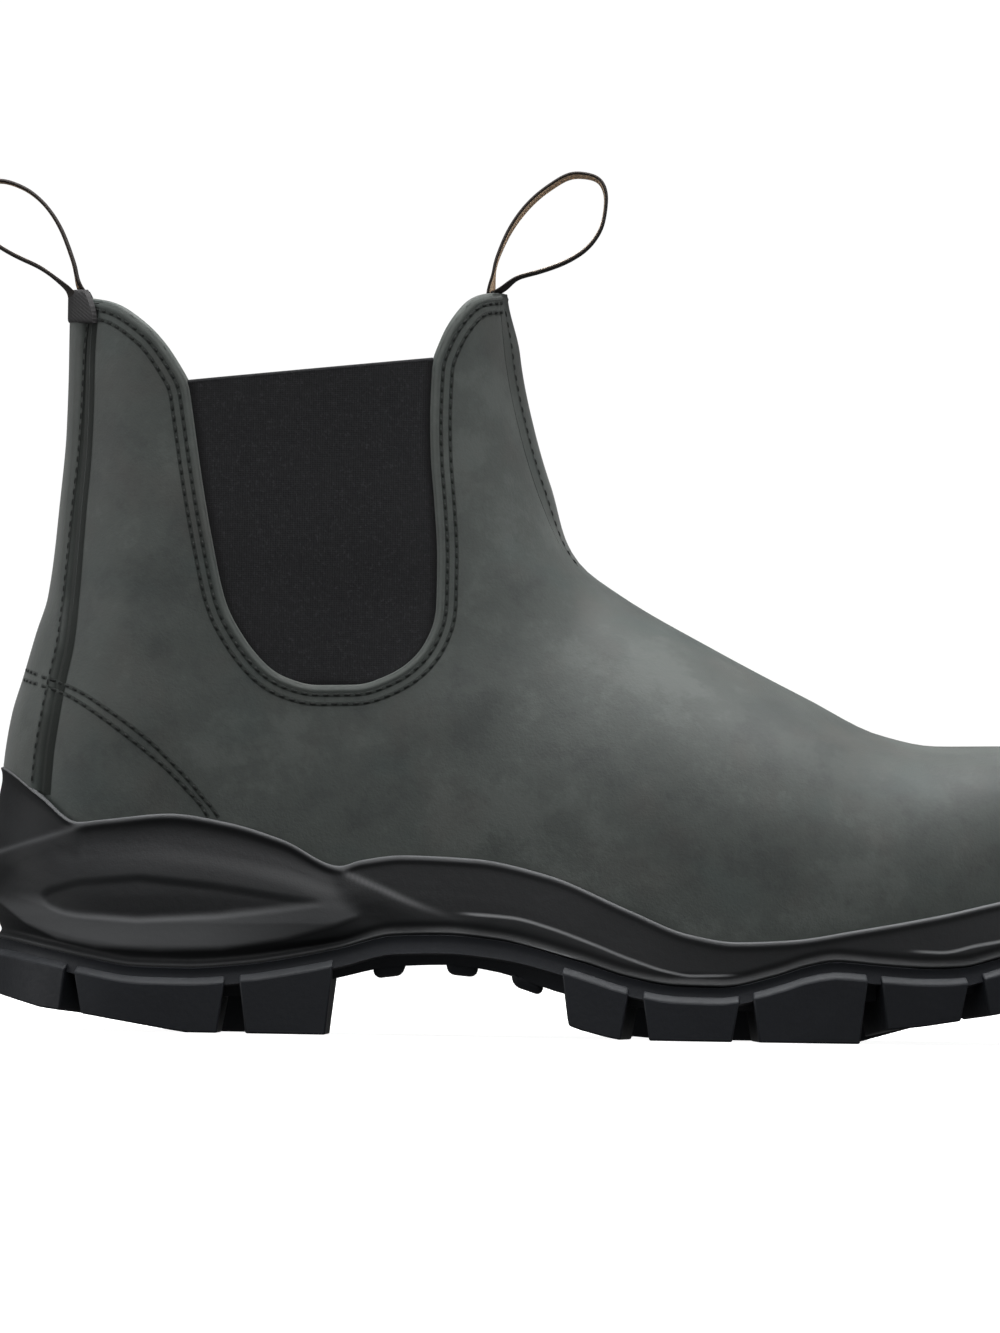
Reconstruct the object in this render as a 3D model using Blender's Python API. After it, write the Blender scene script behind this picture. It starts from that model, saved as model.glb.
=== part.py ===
"""Side gore work boot for the right foot, standing empty on its lugged sole.

The last is a side view outline with a half width worked out at each place in it. The upper, the two
elastic gores, the strips, the insole and the cup of the midsole all read that one function, so they
nest. +X points to the toe, -Y is the outer side of the foot, and the floor is z = 0.
"""

import bpy
import bmesh
import numpy as np

MM = 0.001

# Driving sizes, in metres.
LAST_LENGTH = 284 * MM
LAST_BALL_WIDTH = 101 * MM
COLLAR_HEIGHT = 188 * MM
COLLAR_WIDTH = 62 * MM
HEEL_SEAT = 39 * MM
RIM_HEIGHT = 54.6 * MM
TREAD_BAND = 16.4 * MM
SOLE_FLARE = 7 * MM

# Walls and clearances.
LEATHER = 2.2 * MM
GORE_WALL = 1.3 * MM
GORE_RECESS = 0.6 * MM
STRIP_WALL = 1.1 * MM
CUP_RIM = 1.7 * MM
INSOLE_THICKNESS = 4.0 * MM
WEBBING = 1.2 * MM
WEBBING_WIDTH = 20 * MM
CLEARANCE = 0.3 * MM
CUP_CLEARANCE = 0.4 * MM
INSOLE_GAP = 0.6 * MM

# How the last's cross sections close, and how far up the heel the rings still follow the seat.
BACK_DEPTH = 40 * MM
FRONT_DEPTH = 46 * MM
TOE_DEPTH = 0.30
CLOSING = 2.15
SOFTNESS = 6.0
SAG_FADE = 0.35
SAG_POWER = 1.5
SHAFT_SLOPE = 6.0

# Where one shape passes into the next: first and last share of the collar's height or of the
# last's length.
SWING_FADE = (0.27, 0.62)
SHAFT_START = (0.32, 0.61)
FOREFOOT_START = (0.42, 0.62)
FRONT_START = (0.50, 0.66)

# The lugs under the sole.
LUG_STEP = 1.5 * MM
LUG_DEPTH = 25 * MM
LUG_TAPER = 1.7 * MM
LEDGE_DROP = 4.2 * MM
LUG_STATION = 8 * MM
LUG_LEAN = 0.8 * MM
LUG_ROOT = 4.0 * MM
LUG_BITE = 1.2 * MM
CENTRE_GROOVE = 4.0 * MM
SLAB_UNDERCUT = 7.0 * MM

# The sculpted side of the midsole. A span holds its first and last station and its softness,
# as shares of the last's length.
BAND_STEP = 0.9 * MM
RIB_STEP = 1.1 * MM
POD_BULGE = 2.6 * MM
LENS_DEPTH = 1.4 * MM
POD_SPAN = (-0.028, 0.310, 0.032)
LENS_SPAN = (0.060, 0.268, 0.025)
ARCH_RIB_SPAN = (0.373, 0.641, 0.028)
TOE_RIB_SPAN = (0.803, 0.965, 0.021)
CUP_ROWS = (1.0, 0.66, 0.33, 0.0)

# Mesh counts.
COLUMNS = 34
UPPER_ROWS = 18
FINE = 220
SAMPLES = 12
SETTLING = 12
END_CROWDING = 0.05
TINY = 1e-6
APART = 1e-9
SLOPE_STEP = 0.2 * MM

# Instep and toe in side view: share of the last's length, share of the collar's height.
TOP_LINE = [
    (1.0000, 0.170),
    (0.9995, 0.235),
    (0.9930, 0.287),
    (0.9740, 0.340),
    (0.9400, 0.382),
    (0.8950, 0.4015),
    (0.8300, 0.400),
    (0.7820, 0.413),
    (0.7150, 0.461),
    (0.6290, 0.527),
    (0.5450, 0.598),
    (0.5100, 0.638),
    (0.4870, 0.700),
    (0.4620, 0.810),
    (0.4480, 0.906),
    (0.4410, 1.000),
]

# Heel and back seam in side view: share of the collar's height, share of the last's length.
BACK_LINE = [
    (0.15, 0.0085),
    (0.22, 0.0050),
    (0.31, 0.0025),
    (0.36, 0.0050),
    (0.42, 0.0110),
    (0.47, 0.0205),
    (0.53, 0.0315),
    (0.58, 0.0415),
    (0.71, 0.0510),
    (0.81, 0.0560),
    (0.90, 0.0570),
    (1.00, 0.0570),
]

# Rings of the upper: share up the back line, share along the top line, from the toe's tip.
RING_PATHS = [
    (0.000, 0.000),
    (0.040, 0.045),
    (0.080, 0.100),
    (0.140, 0.200),
    (0.210, 0.330),
    (0.330, 0.520),
    (0.460, 0.690),
    (0.700, 0.840),
    (1.000, 1.000),
]

# Underside of the last: share of its length, share of the heel seat's height.
SEAT_LINE = [
    (-0.02, 1.000),
    (0.15, 1.000),
    (0.30, 0.930),
    (0.42, 0.790),
    (0.55, 0.630),
    (0.65, 0.560),
    (0.72, 0.585),
    (0.77, 0.620),
    (0.85, 0.690),
    (0.94, 0.810),
    (1.00, 0.920),
    (1.03, 0.970),
]

# Plan of the last: share of its length, half width as a share of half the ball's width,
# and how far the middle swings to the inner side, as a share of the ball's width.
PLAN = [
    (0.00, 0.66, 0.000),
    (0.16, 0.68, 0.000),
    (0.30, 0.66, -0.030),
    (0.42, 0.72, -0.045),
    (0.55, 0.90, -0.040),
    (0.66, 0.99, -0.020),
    (0.76, 1.00, 0.015),
    (0.88, 0.99, 0.050),
    (1.00, 0.97, 0.070),
]

# Shaft: share of the collar's height, half width as a share of half the collar's width.
SHAFT_WIDTH = [
    (0.30, 1.10),
    (0.48, 1.08),
    (0.64, 1.05),
    (0.80, 1.00),
    (1.00, 0.97),
]

# Flare of the sole beyond the last: share of the last's length, share of the sole's flare.
FLARE = [
    (0.00, 0.78),
    (0.10, 0.93),
    (0.25, 1.00),
    (0.42, 0.86),
    (0.66, 0.60),
    (0.80, 0.66),
    (0.92, 0.86),
    (1.00, 0.97),
]

# Rim of the midsole: share of the last's length, share of the rim's height.
RIM_LINE = [
    (-0.020, 1.235),
    (0.000, 1.215),
    (0.035, 1.085),
    (0.069, 0.955),
    (0.095, 0.970),
    (0.150, 1.000),
    (0.200, 0.964),
    (0.250, 0.888),
    (0.301, 0.771),
    (0.320, 0.800),
    (0.360, 0.826),
    (0.420, 0.815),
    (0.485, 0.748),
    (0.560, 0.588),
    (0.612, 0.483),
    (0.652, 0.452),
    (0.700, 0.464),
    (0.760, 0.516),
    (0.835, 0.592),
    (0.890, 0.661),
    (1.000, 0.760),
    (1.030, 0.780),
]

# Joint of midsole and outsole at the edge: share of the last's length, share of the band's height.
BAND_LINE = [
    (-0.025, 1.430),
    (0.000, 1.390),
    (0.040, 1.260),
    (0.081, 1.115),
    (0.122, 1.010),
    (0.165, 1.000),
    (0.213, 1.060),
    (0.270, 1.220),
    (0.302, 1.340),
    (0.350, 1.550),
    (0.395, 1.575),
    (0.440, 1.510),
    (0.514, 1.205),
    (0.561, 0.960),
    (0.601, 0.850),
    (0.640, 0.840),
    (0.688, 1.020),
    (0.718, 1.190),
    (0.742, 1.262),
    (0.780, 1.215),
    (0.822, 1.177),
    (0.852, 1.195),
    (0.890, 1.360),
    (0.940, 1.560),
    (1.000, 1.850),
    (1.030, 1.950),
]

# Floor of the grooves between the lugs: share of the last's length, share of the band's height.
GROOVE_LINE = [
    (-0.025, 0.890),
    (0.050, 0.620),
    (0.160, 0.550),
    (0.230, 0.580),
    (0.300, 0.870),
    (0.352, 1.065),
    (0.400, 1.100),
    (0.440, 1.010),
    (0.504, 0.680),
    (0.563, 0.500),
    (0.670, 0.475),
    (0.740, 0.550),
    (0.775, 0.655),
    (0.830, 0.700),
    (0.890, 0.890),
    (0.940, 1.070),
    (1.000, 1.350),
    (1.030, 1.450),
]

# Bottom of the lugs above the floor: share of the last's length, share of the band's height.
TREAD_LINE = [
    (-0.025, 0.660),
    (0.000, 0.520),
    (0.035, 0.345),
    (0.070, 0.270),
    (0.110, 0.155),
    (0.165, 0.000),
    (0.200, 0.000),
    (0.296, 0.000),
    (0.500, 0.000),
    (0.502, 0.230),
    (0.520, 0.120),
    (0.550, 0.000),
    (0.600, 0.000),
    (0.766, 0.000),
    (0.774, 0.190),
    (0.820, 0.275),
    (0.860, 0.390),
    (0.893, 0.500),
    (0.950, 0.700),
    (1.000, 0.950),
    (1.030, 1.080),
]

# Lugs round the edge: first and last station as shares of the last's length, share of the depth.
EDGE_LUGS = [
    (-0.020, 0.052, 0.50),
    (0.071, 0.194, 0.80),
    (0.219, 0.290, 0.90),
    (0.505, 0.552, 0.90),
    (0.577, 0.651, 1.00),
    (0.675, 0.765, 1.00),
    (0.789, 0.855, 0.90),
    (0.880, 0.950, 0.70),
    (0.962, 1.022, 0.50),
]

# Lugs along the middle: first and last station, half width as a share of the ball's width.
MIDDLE_LUGS = [
    (0.085, 0.150, 0.075),
    (0.168, 0.232, 0.075),
    (0.530, 0.590, 0.130),
    (0.607, 0.682, 0.165),
    (0.699, 0.748, 0.175),
    (0.765, 0.821, 0.150),
    (0.838, 0.890, 0.110),
]

# Bars across the arch: middle station, as a share of the last's length.
ARCH_BARS = (0.346, 0.411, 0.469)
ARCH_BAR_LENGTH = 7 * MM
ARCH_BAR_DROP = 2.4 * MM
ARCH_BAR_INSET = 9 * MM

# Side wall of the midsole: share of the way up, lean towards the rim, bulge of the heel pod,
# depth of the lens in the pod, and how far the rib below stands out.
WALL = [
    (0.00, 0.00, -0.10, 0.0, 1.0),
    (0.07, 0.01, -0.30, 0.0, 1.0),
    (0.15, 0.04, 0.35, 0.0, 1.0),
    (0.27, 0.10, 0.85, 0.1, 1.0),
    (0.31, 0.13, 0.95, 0.9, 0.0),
    (0.46, 0.26, 1.00, 1.0, 0.0),
    (0.58, 0.42, 0.85, 0.9, 0.0),
    (0.64, 0.50, 0.70, 0.1, 0.0),
    (0.78, 0.70, 0.15, 0.0, 0.0),
    (0.92, 0.90, -0.20, 0.0, 0.0),
]

# The elastic's edge in side view, top to bottom: share of the last's length, of the collar's height.
GORE_REAR = [
    (0.1577, 0.872),
    (0.1627, 0.824),
    (0.1718, 0.738),
    (0.1830, 0.650),
    (0.1958, 0.572),
    (0.2080, 0.538),
    (0.2225, 0.508),
    (0.2430, 0.481),
    (0.2700, 0.467),
]
GORE_FRONT = [
    (0.3771, 0.908),
    (0.3757, 0.830),
    (0.3768, 0.778),
    (0.3803, 0.720),
    (0.3838, 0.640),
    (0.3835, 0.572),
    (0.3732, 0.525),
    (0.3514, 0.491),
    (0.3200, 0.469),
]

# Edges of the two tabs in side view, from the tab's top down to the elastic's corner.
BACK_TAB = [
    (0.0600, 0.984),
    (0.0850, 0.979),
    (0.1172, 0.951),
    (0.1310, 0.932),
    (0.1451, 0.903),
]
FRONT_TAB = [
    (0.4270, 0.9995),
    (0.4137, 0.994),
    (0.4000, 0.974),
    (0.3891, 0.950),
    (0.3813, 0.922),
]

# Edge of each strip in side view: share of the collar's height, share of the last's length. The
# back strip's is its station, and the front strip's is how far it lies behind the front line.
BACK_STRIP = [
    (0.320, 0.0363),
    (0.371, 0.0387),
    (0.414, 0.0426),
    (0.470, 0.0489),
    (0.522, 0.0556),
    (0.578, 0.0592),
    (0.713, 0.0651),
    (0.771, 0.0680),
    (0.839, 0.0694),
    (0.908, 0.0697),
    (0.975, 0.0725),
]
FRONT_STRIP = [(0.655, 0.0074), (0.800, 0.0074), (0.992, 0.0074)]
STRIP_GAP = 0.7 * MM
STRIP_ROWS = 14
STRIP_COLUMNS = 7

# Pull loops in side view, from the leg inside the shaft, out and back to the collar, as shares of
# the loop's height measured outwards and upwards from the rim.
LOOP_HEIGHT = 31 * MM
LOOP_ROWS = 26
LOOP_COLUMNS = 4
GORE_ROWS = 13
GORE_COLUMNS = 8
GORE_SHRINK = 1.8
TAB_ROWS = 7
CUTTER_TOP = 1.15
CUTTER_REAR = -0.05
FRONT_LOOP = [
    (0.00, 0.00),
    (0.00, 0.16),
    (0.07, 0.40),
    (0.22, 0.66),
    (0.44, 0.87),
    (0.66, 0.98),
    (0.84, 0.95),
    (0.91, 0.80),
    (0.89, 0.60),
    (0.79, 0.41),
    (0.60, 0.27),
    (0.37, 0.18),
    (0.18, 0.12),
    (0.09, 0.025),
]
BACK_LOOP = [
    (0.00, 0.00),
    (0.03, 0.14),
    (0.12, 0.33),
    (0.26, 0.58),
    (0.42, 0.79),
    (0.58, 0.90),
    (0.76, 0.95),
    (0.92, 0.90),
    (0.97, 0.74),
    (0.90, 0.53),
    (0.74, 0.38),
    (0.56, 0.27),
    (0.38, 0.18),
    (0.22, 0.06),
]
LOOP_LEG = 8 * MM
LOOP_GAP = 0.8 * MM


# Curves through a table


def track(stations, values):
    """A smooth curve through a table that never overshoots: cubic pieces with limited slopes."""
    x = np.asarray(stations, float)
    y = np.asarray(values, float)
    run = np.diff(x)
    rise = np.diff(y) / run
    slope = np.zeros(len(x))
    slope[0], slope[-1] = rise[0], rise[-1]
    same = rise[1:] * rise[:-1] > 0
    before = 2 * run[1:] + run[:-1]
    after = run[1:] + 2 * run[:-1]
    with np.errstate(divide="ignore", invalid="ignore"):
        mean = (before + after) / (before / rise[:-1] + after / rise[1:])
    slope[1:-1] = np.where(same, mean, 0.0)

    def at(q):
        q = np.clip(q, x[0], x[-1])
        i = np.clip(np.searchsorted(x, q) - 1, 0, len(run) - 1)
        t = (q - x[i]) / run[i]
        h = run[i]
        return (
            y[i] * (1 + 2 * t) * (1 - t) ** 2
            + slope[i] * h * t * (1 - t) ** 2
            + y[i + 1] * t * t * (3 - 2 * t)
            + slope[i + 1] * h * t * t * (t - 1)
        )

    return at


def line_through(points, count):
    """Points spaced evenly along a smooth open line through the given ones."""
    points = np.asarray(points, float)
    reach = np.append(0, np.cumsum(np.linalg.norm(np.diff(points, axis=0), axis=1)))
    fine = np.linspace(0, reach[-1], SAMPLES * count)
    smooth = np.stack([track(reach, points[:, k])(fine) for k in range(points.shape[1])], 1)
    return resample(smooth, np.linspace(0, 1, count))


def resample(points, shares):
    """Points of a line at the given shares of its length."""
    reach = np.append(0, np.cumsum(np.linalg.norm(np.diff(points, axis=0), axis=1)))
    places = np.asarray(shares) * reach[-1]
    return np.stack([np.interp(places, reach, points[:, k]) for k in range(points.shape[1])], 1)


def ease(q, low, high):
    """0 before low, 1 after high, smooth between."""
    t = np.clip((q - low) / (high - low), 0, 1)
    return t * t * (3 - 2 * t)


def closing(q, power=CLOSING):
    """Rounded end of a section: 0 at its edge, 1 from the depth inwards."""
    q = np.clip(q, 0, 1)
    return (1 - (1 - q) ** power) ** (1 / power)


def column(table, k):
    return [row[k] for row in table]


# The last


TOP = line_through([(LAST_LENGTH * s, COLLAR_HEIGHT * h) for s, h in TOP_LINE], FINE)
TOP_OF = (TOP[::-1, 0] + np.arange(FINE) * APART, TOP[::-1, 1])

back_at = track(column(BACK_LINE, 0), column(BACK_LINE, 1))
seat_at = track(column(SEAT_LINE, 0), column(SEAT_LINE, 1))
plan_at = track(column(PLAN, 0), column(PLAN, 1))
swing_at = track(column(PLAN, 0), column(PLAN, 2))
shaft_at = track(column(SHAFT_WIDTH, 0), column(SHAFT_WIDTH, 1))
flare_at = track(column(FLARE, 0), column(FLARE, 1))
rim_at = track(column(RIM_LINE, 0), column(RIM_LINE, 1))
band_at = track(column(BAND_LINE, 0), column(BAND_LINE, 1))
groove_at = track(column(GROOVE_LINE, 0), column(GROOVE_LINE, 1))


def back_x(z):
    return LAST_LENGTH * back_at(z / COLLAR_HEIGHT)


def seat_z(x):
    return HEEL_SEAT * seat_at(x / LAST_LENGTH)


def rim_z(x):
    return RIM_HEIGHT * rim_at(x / LAST_LENGTH)


def band_z(x):
    return TREAD_BAND * band_at(x / LAST_LENGTH)


def groove_z(x):
    return TREAD_BAND * groove_at(x / LAST_LENGTH)


def tread_z(x):
    return TREAD_BAND * np.interp(x / LAST_LENGTH, column(TREAD_LINE, 0), column(TREAD_LINE, 1))


def top_z(x):
    """Height of the instep line over x. Behind the collar it goes on up at the shaft's slope."""
    beyond = np.maximum(TOP_OF[0][0] - x, 0)
    return np.interp(x, *TOP_OF) + SHAFT_SLOPE * beyond


def front_x(z):
    return np.interp(z, TOP[:, 1] + np.arange(FINE) * APART, TOP[:, 0])


def middle_y(x, z):
    """Swing of the foot's middle line, which dies out up the shaft."""
    low = 1 - ease(z / COLLAR_HEIGHT, *SWING_FADE)
    return LAST_BALL_WIDTH * swing_at(np.clip(x / LAST_LENGTH, 0, 1)) * low


def half_width(x, z):
    """Half width of the last at a place in its side view: the plan's width, closed over the instep,
    down the front of the shaft, round the heel and at the toe."""
    station = np.clip(x / LAST_LENGTH, 0, 1)
    height = z / COLLAR_HEIGHT
    foot = LAST_BALL_WIDTH / 2 * plan_at(station) * closing((1 - station) / TOE_DEPTH)
    shaft = COLLAR_WIDTH / 2 * shaft_at(height)
    up = ease(height, *SHAFT_START) * (1 - ease(station, *FOREFOOT_START))
    width = foot * (1 - up) + shaft * up
    seat = seat_z(x)
    rise = np.clip((z - seat) / np.maximum(top_z(x) - seat, TINY), 0, 1)
    over = np.maximum((1 - rise ** CLOSING), 0) ** (1 / CLOSING)
    front = closing((front_x(z) - x) / FRONT_DEPTH)
    front = 1 - (1 - front) * ease(height, *FRONT_START)
    soft = (np.maximum(over, TINY) ** -SOFTNESS + np.maximum(front, TINY) ** -SOFTNESS) / 2
    return width * np.minimum(soft ** (-1 / SOFTNESS), 1) * closing((x - back_x(z)) / BACK_DEPTH)


# Rings round the boot, which start at the heel and run along the outer side to the toe and back


def spread(count):
    """Shares from 0 to 1, closer together at both ends."""
    even = np.linspace(0, 1, count)
    return even - END_CROWDING * np.sin(2 * np.pi * even)


def ring_of(path, shares):
    """Ring round the last over a path in side view, as columns at the given shares of each side."""
    x, z = path[:, 0], path[:, 1]
    half = half_width(x, z)
    half[0] = half[-1] = 0
    middle = middle_y(x, z)
    outer = resample(np.stack([x, middle - half, z], 1), shares)
    inner = resample(np.stack([x, middle + half, z], 1), shares)
    return np.vstack([outer, inner[-2:0:-1]])


def fine_steps():
    return (1 - np.cos(np.linspace(0, np.pi, FINE))) / 2


def level_path(height_of):
    """Side view path across the last where the height follows a function of x."""
    rear, tip = 0.0, LAST_LENGTH
    for _ in range(SETTLING):
        rear = back_x(height_of(rear))
        tip = front_x(height_of(tip))
    x = rear + (tip - rear) * fine_steps()
    return np.stack([x, height_of(x)], 1)


def grow(ring, amount):
    """A ring moved outwards in plan."""
    ahead = np.roll(ring, -1, 0) - np.roll(ring, 1, 0)
    normal = np.stack([ahead[:, 1], -ahead[:, 0]], 1)
    normal /= np.linalg.norm(normal, axis=1)[:, None]
    moved = ring.copy()
    moved[:, :2] += normal * np.reshape(amount, (-1, 1))
    return moved


def set_height(ring, height_of, by=0.0):
    moved = ring.copy()
    moved[:, 2] = height_of(moved[:, 0]) + by
    return moved


SHARES = spread(COLUMNS + 1)
SEAT_RING = ring_of(level_path(seat_z), SHARES)
RIM_RING = ring_of(level_path(rim_z), SHARES)


def sole_ring(inset, height_of, by=0.0):
    """Outline of the sole, moved in by an inset, at a height that follows x."""
    flare = SOLE_FLARE * flare_at(SEAT_RING[:, 0] / LAST_LENGTH)
    return set_height(grow(SEAT_RING, flare - inset), height_of, by)


# Meshes


def body(name, bm, material, smooth_angle=35):
    """The finished mesh as a named object with its material and smooth faces."""
    bmesh.ops.recalc_face_normals(bm, faces=bm.faces)
    mesh = bpy.data.meshes.new(name)
    bm.to_mesh(mesh)
    bm.free()
    mesh.shade_smooth()
    mesh.set_sharp_from_angle(angle=np.radians(smooth_angle))
    mesh.materials.append(material)
    made = bpy.data.objects.new(name, mesh)
    bpy.context.scene.collection.objects.link(made)
    return made


def skin(rings, loop):
    """Quads between closed rings. With loop the last ring joins the first, and otherwise both ends
    are closed straight across from the outer side to the inner side."""
    bm = bmesh.new()
    rows = [[bm.verts.new(p) for p in ring] for ring in rings]
    count = len(rows[0])
    pairs = list(zip(rows, rows[1:]))
    if loop:
        pairs.append((rows[-1], rows[0]))
    for low, high in pairs:
        for j in range(count):
            k = (j + 1) % count
            bm.faces.new((low[j], low[k], high[k], high[j]))
    if not loop:
        for row, up in ((rows[0], False), (rows[-1], True)):
            for j in range(count // 2):
                near, next_near = row[j], row[j + 1]
                far, next_far = row[-j], row[-j - 1]
                for corners in ((near, next_near, next_far), (near, next_far, far)):
                    if len(set(corners)) == 3:
                        bm.faces.new(corners if up else corners[::-1])
    return bm


def slab(front, back):
    """A closed plate between two grids of points with the same rows and columns."""
    bm = bmesh.new()
    near = [[bm.verts.new(p) for p in row] for row in front]
    far = [[bm.verts.new(p) for p in row] for row in back]
    rows, columns = len(near), len(near[0])
    for i in range(rows - 1):
        for j in range(columns - 1):
            bm.faces.new((near[i][j], near[i][j + 1], near[i + 1][j + 1], near[i + 1][j]))
            bm.faces.new((far[i][j], far[i + 1][j], far[i + 1][j + 1], far[i][j + 1]))
    edge = [(0, j) for j in range(columns)]
    edge += [(i, columns - 1) for i in range(1, rows)]
    edge += [(rows - 1, j) for j in range(columns - 2, -1, -1)]
    edge += [(i, 0) for i in range(rows - 2, 0, -1)]
    for (a, b), (c, d) in zip(edge, edge[1:] + edge[:1]):
        bm.faces.new((near[a][b], far[a][b], far[c][d], near[c][d]))
    return bm


def prism(outline, half):
    """A side view outline carried across the boot."""
    bm = bmesh.new()
    sides = [[bm.verts.new((x, y, z)) for x, z in outline] for y in (-half, half)]
    count = len(outline)
    for j in range(count):
        k = (j + 1) % count
        bm.faces.new((sides[0][j], sides[0][k], sides[1][k], sides[1][j]))
    bm.faces.new(sides[0])
    bm.faces.new(sides[1])
    return bm


def finish(name, colour, roughness):
    material = bpy.data.materials.new(name)
    material.use_nodes = True
    shader = material.node_tree.nodes["Principled BSDF"]
    shader.inputs["Base Color"].default_value = (*colour, 1.0)
    shader.inputs["Roughness"].default_value = roughness
    shader.inputs["Metallic"].default_value = 0.0
    return material


def boolean(target, tool, operation):
    """Cuts or joins with a helper, which is hidden and isn't a part."""
    tool.hide_render = True
    tool.display_type = "WIRE"
    modifier = target.modifiers.new(tool.name, "BOOLEAN")
    modifier.operation = operation
    modifier.solver = "EXACT"
    modifier.object = tool


def normals_of(rings):
    """Outward directions on a stack of rings, from the ring's run and the way up."""
    along = np.roll(rings, -1, 1) - np.roll(rings, 1, 1)
    up = np.gradient(rings, axis=0)
    normal = np.cross(along, up)
    return normal / np.linalg.norm(normal, axis=2)[..., None]


# Upper


def upper_rings():
    """Rings that fan from the sole's edge to the collar: the back end climbs the heel while the
    front end runs back along the instep and up the shaft."""
    steps = np.linspace(0, 1, UPPER_ROWS)
    grid = np.linspace(0, 1, len(RING_PATHS))
    rear_share = track(grid, column(RING_PATHS, 0))(steps)
    front_share = track(grid, column(RING_PATHS, 1))(steps)
    seat = level_path(seat_z)
    low = seat[0, 1]
    chord = np.interp(seat[:, 0], seat[[0, -1], 0], seat[[0, -1], 1])
    sag = seat[:, 1] - chord
    fronts = resample(np.vstack([seat[-1:], TOP[TOP[:, 1] > seat[-1, 1]]]), front_share)
    rings = []
    for share, front in zip(rear_share, fronts):
        z = low + (COLLAR_HEIGHT - low) * share
        rear = np.array([back_x(z), z])
        path = rear + (front - rear) * fine_steps()[:, None]
        path[:, 1] += sag * max(0.0, 1 - share / SAG_FADE) ** SAG_POWER
        rings.append(ring_of(path, SHARES))
    return np.array(rings)


def make_upper(material):
    outside = upper_rings()
    inside = outside - LEATHER * normals_of(outside)
    inside[0, :, 2] = outside[0, :, 2]
    inside[-1, :, 2] = outside[-1, :, 2]
    upper = body("upper", skin([*outside, *inside[::-1]], loop=True), material)
    cutter = body("gore_cutter", prism(opening_outline(), COLLAR_WIDTH), material)
    boolean(upper, cutter, "DIFFERENCE")


def side_view(table, count):
    return line_through([(LAST_LENGTH * s, COLLAR_HEIGHT * h) for s, h in table], count)


def opening_outline():
    """The cut that opens the collar: over the back tab, down and round the elastic, and over the
    front tab."""
    above = COLLAR_HEIGHT * CUTTER_TOP
    back_tab = side_view(BACK_TAB, TAB_ROWS)
    front_tab = side_view(FRONT_TAB, TAB_ROWS)
    rear = side_view(GORE_REAR, GORE_ROWS)
    front = side_view(GORE_FRONT, GORE_ROWS)
    behind = LAST_LENGTH * CUTTER_REAR
    start = [(behind, back_tab[0, 1])]
    end = [(front_tab[0, 0], above), (behind, above)]
    return [*start, *back_tab, *rear, *front[::-1], *front_tab[::-1], *end]


def on_last(x, z, side, inset):
    """A place on the last's side face, moved inwards square to the face. The way in is worked out
    from (y - middle)^2 - half^2, so it holds at the back and front lines too."""
    half = half_width(x, z)
    slopes = []
    for a, b in ((SLOPE_STEP, 0), (0, SLOPE_STEP)):
        swing = middle_y(x + a, z + b) - middle_y(x - a, z - b)
        square = half_width(x + a, z + b) ** 2 - half_width(x - a, z - b) ** 2
        slopes.append(-(2 * side * half * swing + square) / (2 * SLOPE_STEP))
    normal = np.stack([slopes[0], 2 * side * half, slopes[1]], -1)
    normal /= np.linalg.norm(normal, axis=-1)[..., None]
    return np.stack([x, middle_y(x, z) + side * half, z], -1) - inset * normal


def make_gore(name, side, material):
    """Elastic panel in the cut, a little thinner than the leather and set back from its face."""
    rear = side_view(GORE_REAR, GORE_ROWS)[::-1]
    front = side_view(GORE_FRONT, GORE_ROWS)[::-1]
    across = np.linspace(0, 1, GORE_COLUMNS)[None, :, None]
    sheet = rear[:, None] * (1 - across) + front[:, None] * across
    centre = sheet.reshape(-1, 2).mean(0)
    reach = np.abs(sheet - centre).max((0, 1))
    sheet = centre + (sheet - centre) * (1 - GORE_SHRINK * CLEARANCE / reach)
    x, z = sheet[..., 0], sheet[..., 1]
    face = on_last(x, z, side, GORE_RECESS)
    lining = on_last(x, z, side, GORE_RECESS + GORE_WALL)
    body(name, slab(face, lining), material)


# Strips


def make_strip(name, front, table, material):
    """Leather strip laid over the last's back or front line, from its foot up to the collar. The
    back strip's foot follows the midsole's rim."""
    edge_at = track(column(table, 0), column(table, 1))
    across = np.linspace(-1, 1, STRIP_COLUMNS)
    side = np.where(across < 0, -1.0, 1.0)

    def station(z):
        edge = LAST_LENGTH * edge_at(z / COLLAR_HEIGHT)
        if front:
            return front_x(z) - edge * np.abs(across) ** CLOSING
        return back_x(z) + (edge - back_x(z)) * np.abs(across) ** CLOSING

    foot = np.full(STRIP_COLUMNS, COLLAR_HEIGHT * table[0][0])
    if not front:
        for _ in range(SETTLING):
            foot = rim_z(station(foot)) + CLEARANCE
    top = COLLAR_HEIGHT * table[-1][0]
    rows = [foot + (top - foot) * share for share in np.linspace(0, 1, STRIP_ROWS)]
    face = [on_last(station(z), z, side, -STRIP_GAP - STRIP_WALL) for z in rows]
    back = [on_last(station(z), z, side, -STRIP_GAP) for z in rows]
    body(name, slab(face, back), material)


# Sole


def bump(x, low, high, soft):
    """1 between two stations and 0 outside them, as shares of the last's length."""
    share = x / LAST_LENGTH
    return ease(share, low - soft, low + soft) * (1 - ease(share, high - soft, high + soft))


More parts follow.
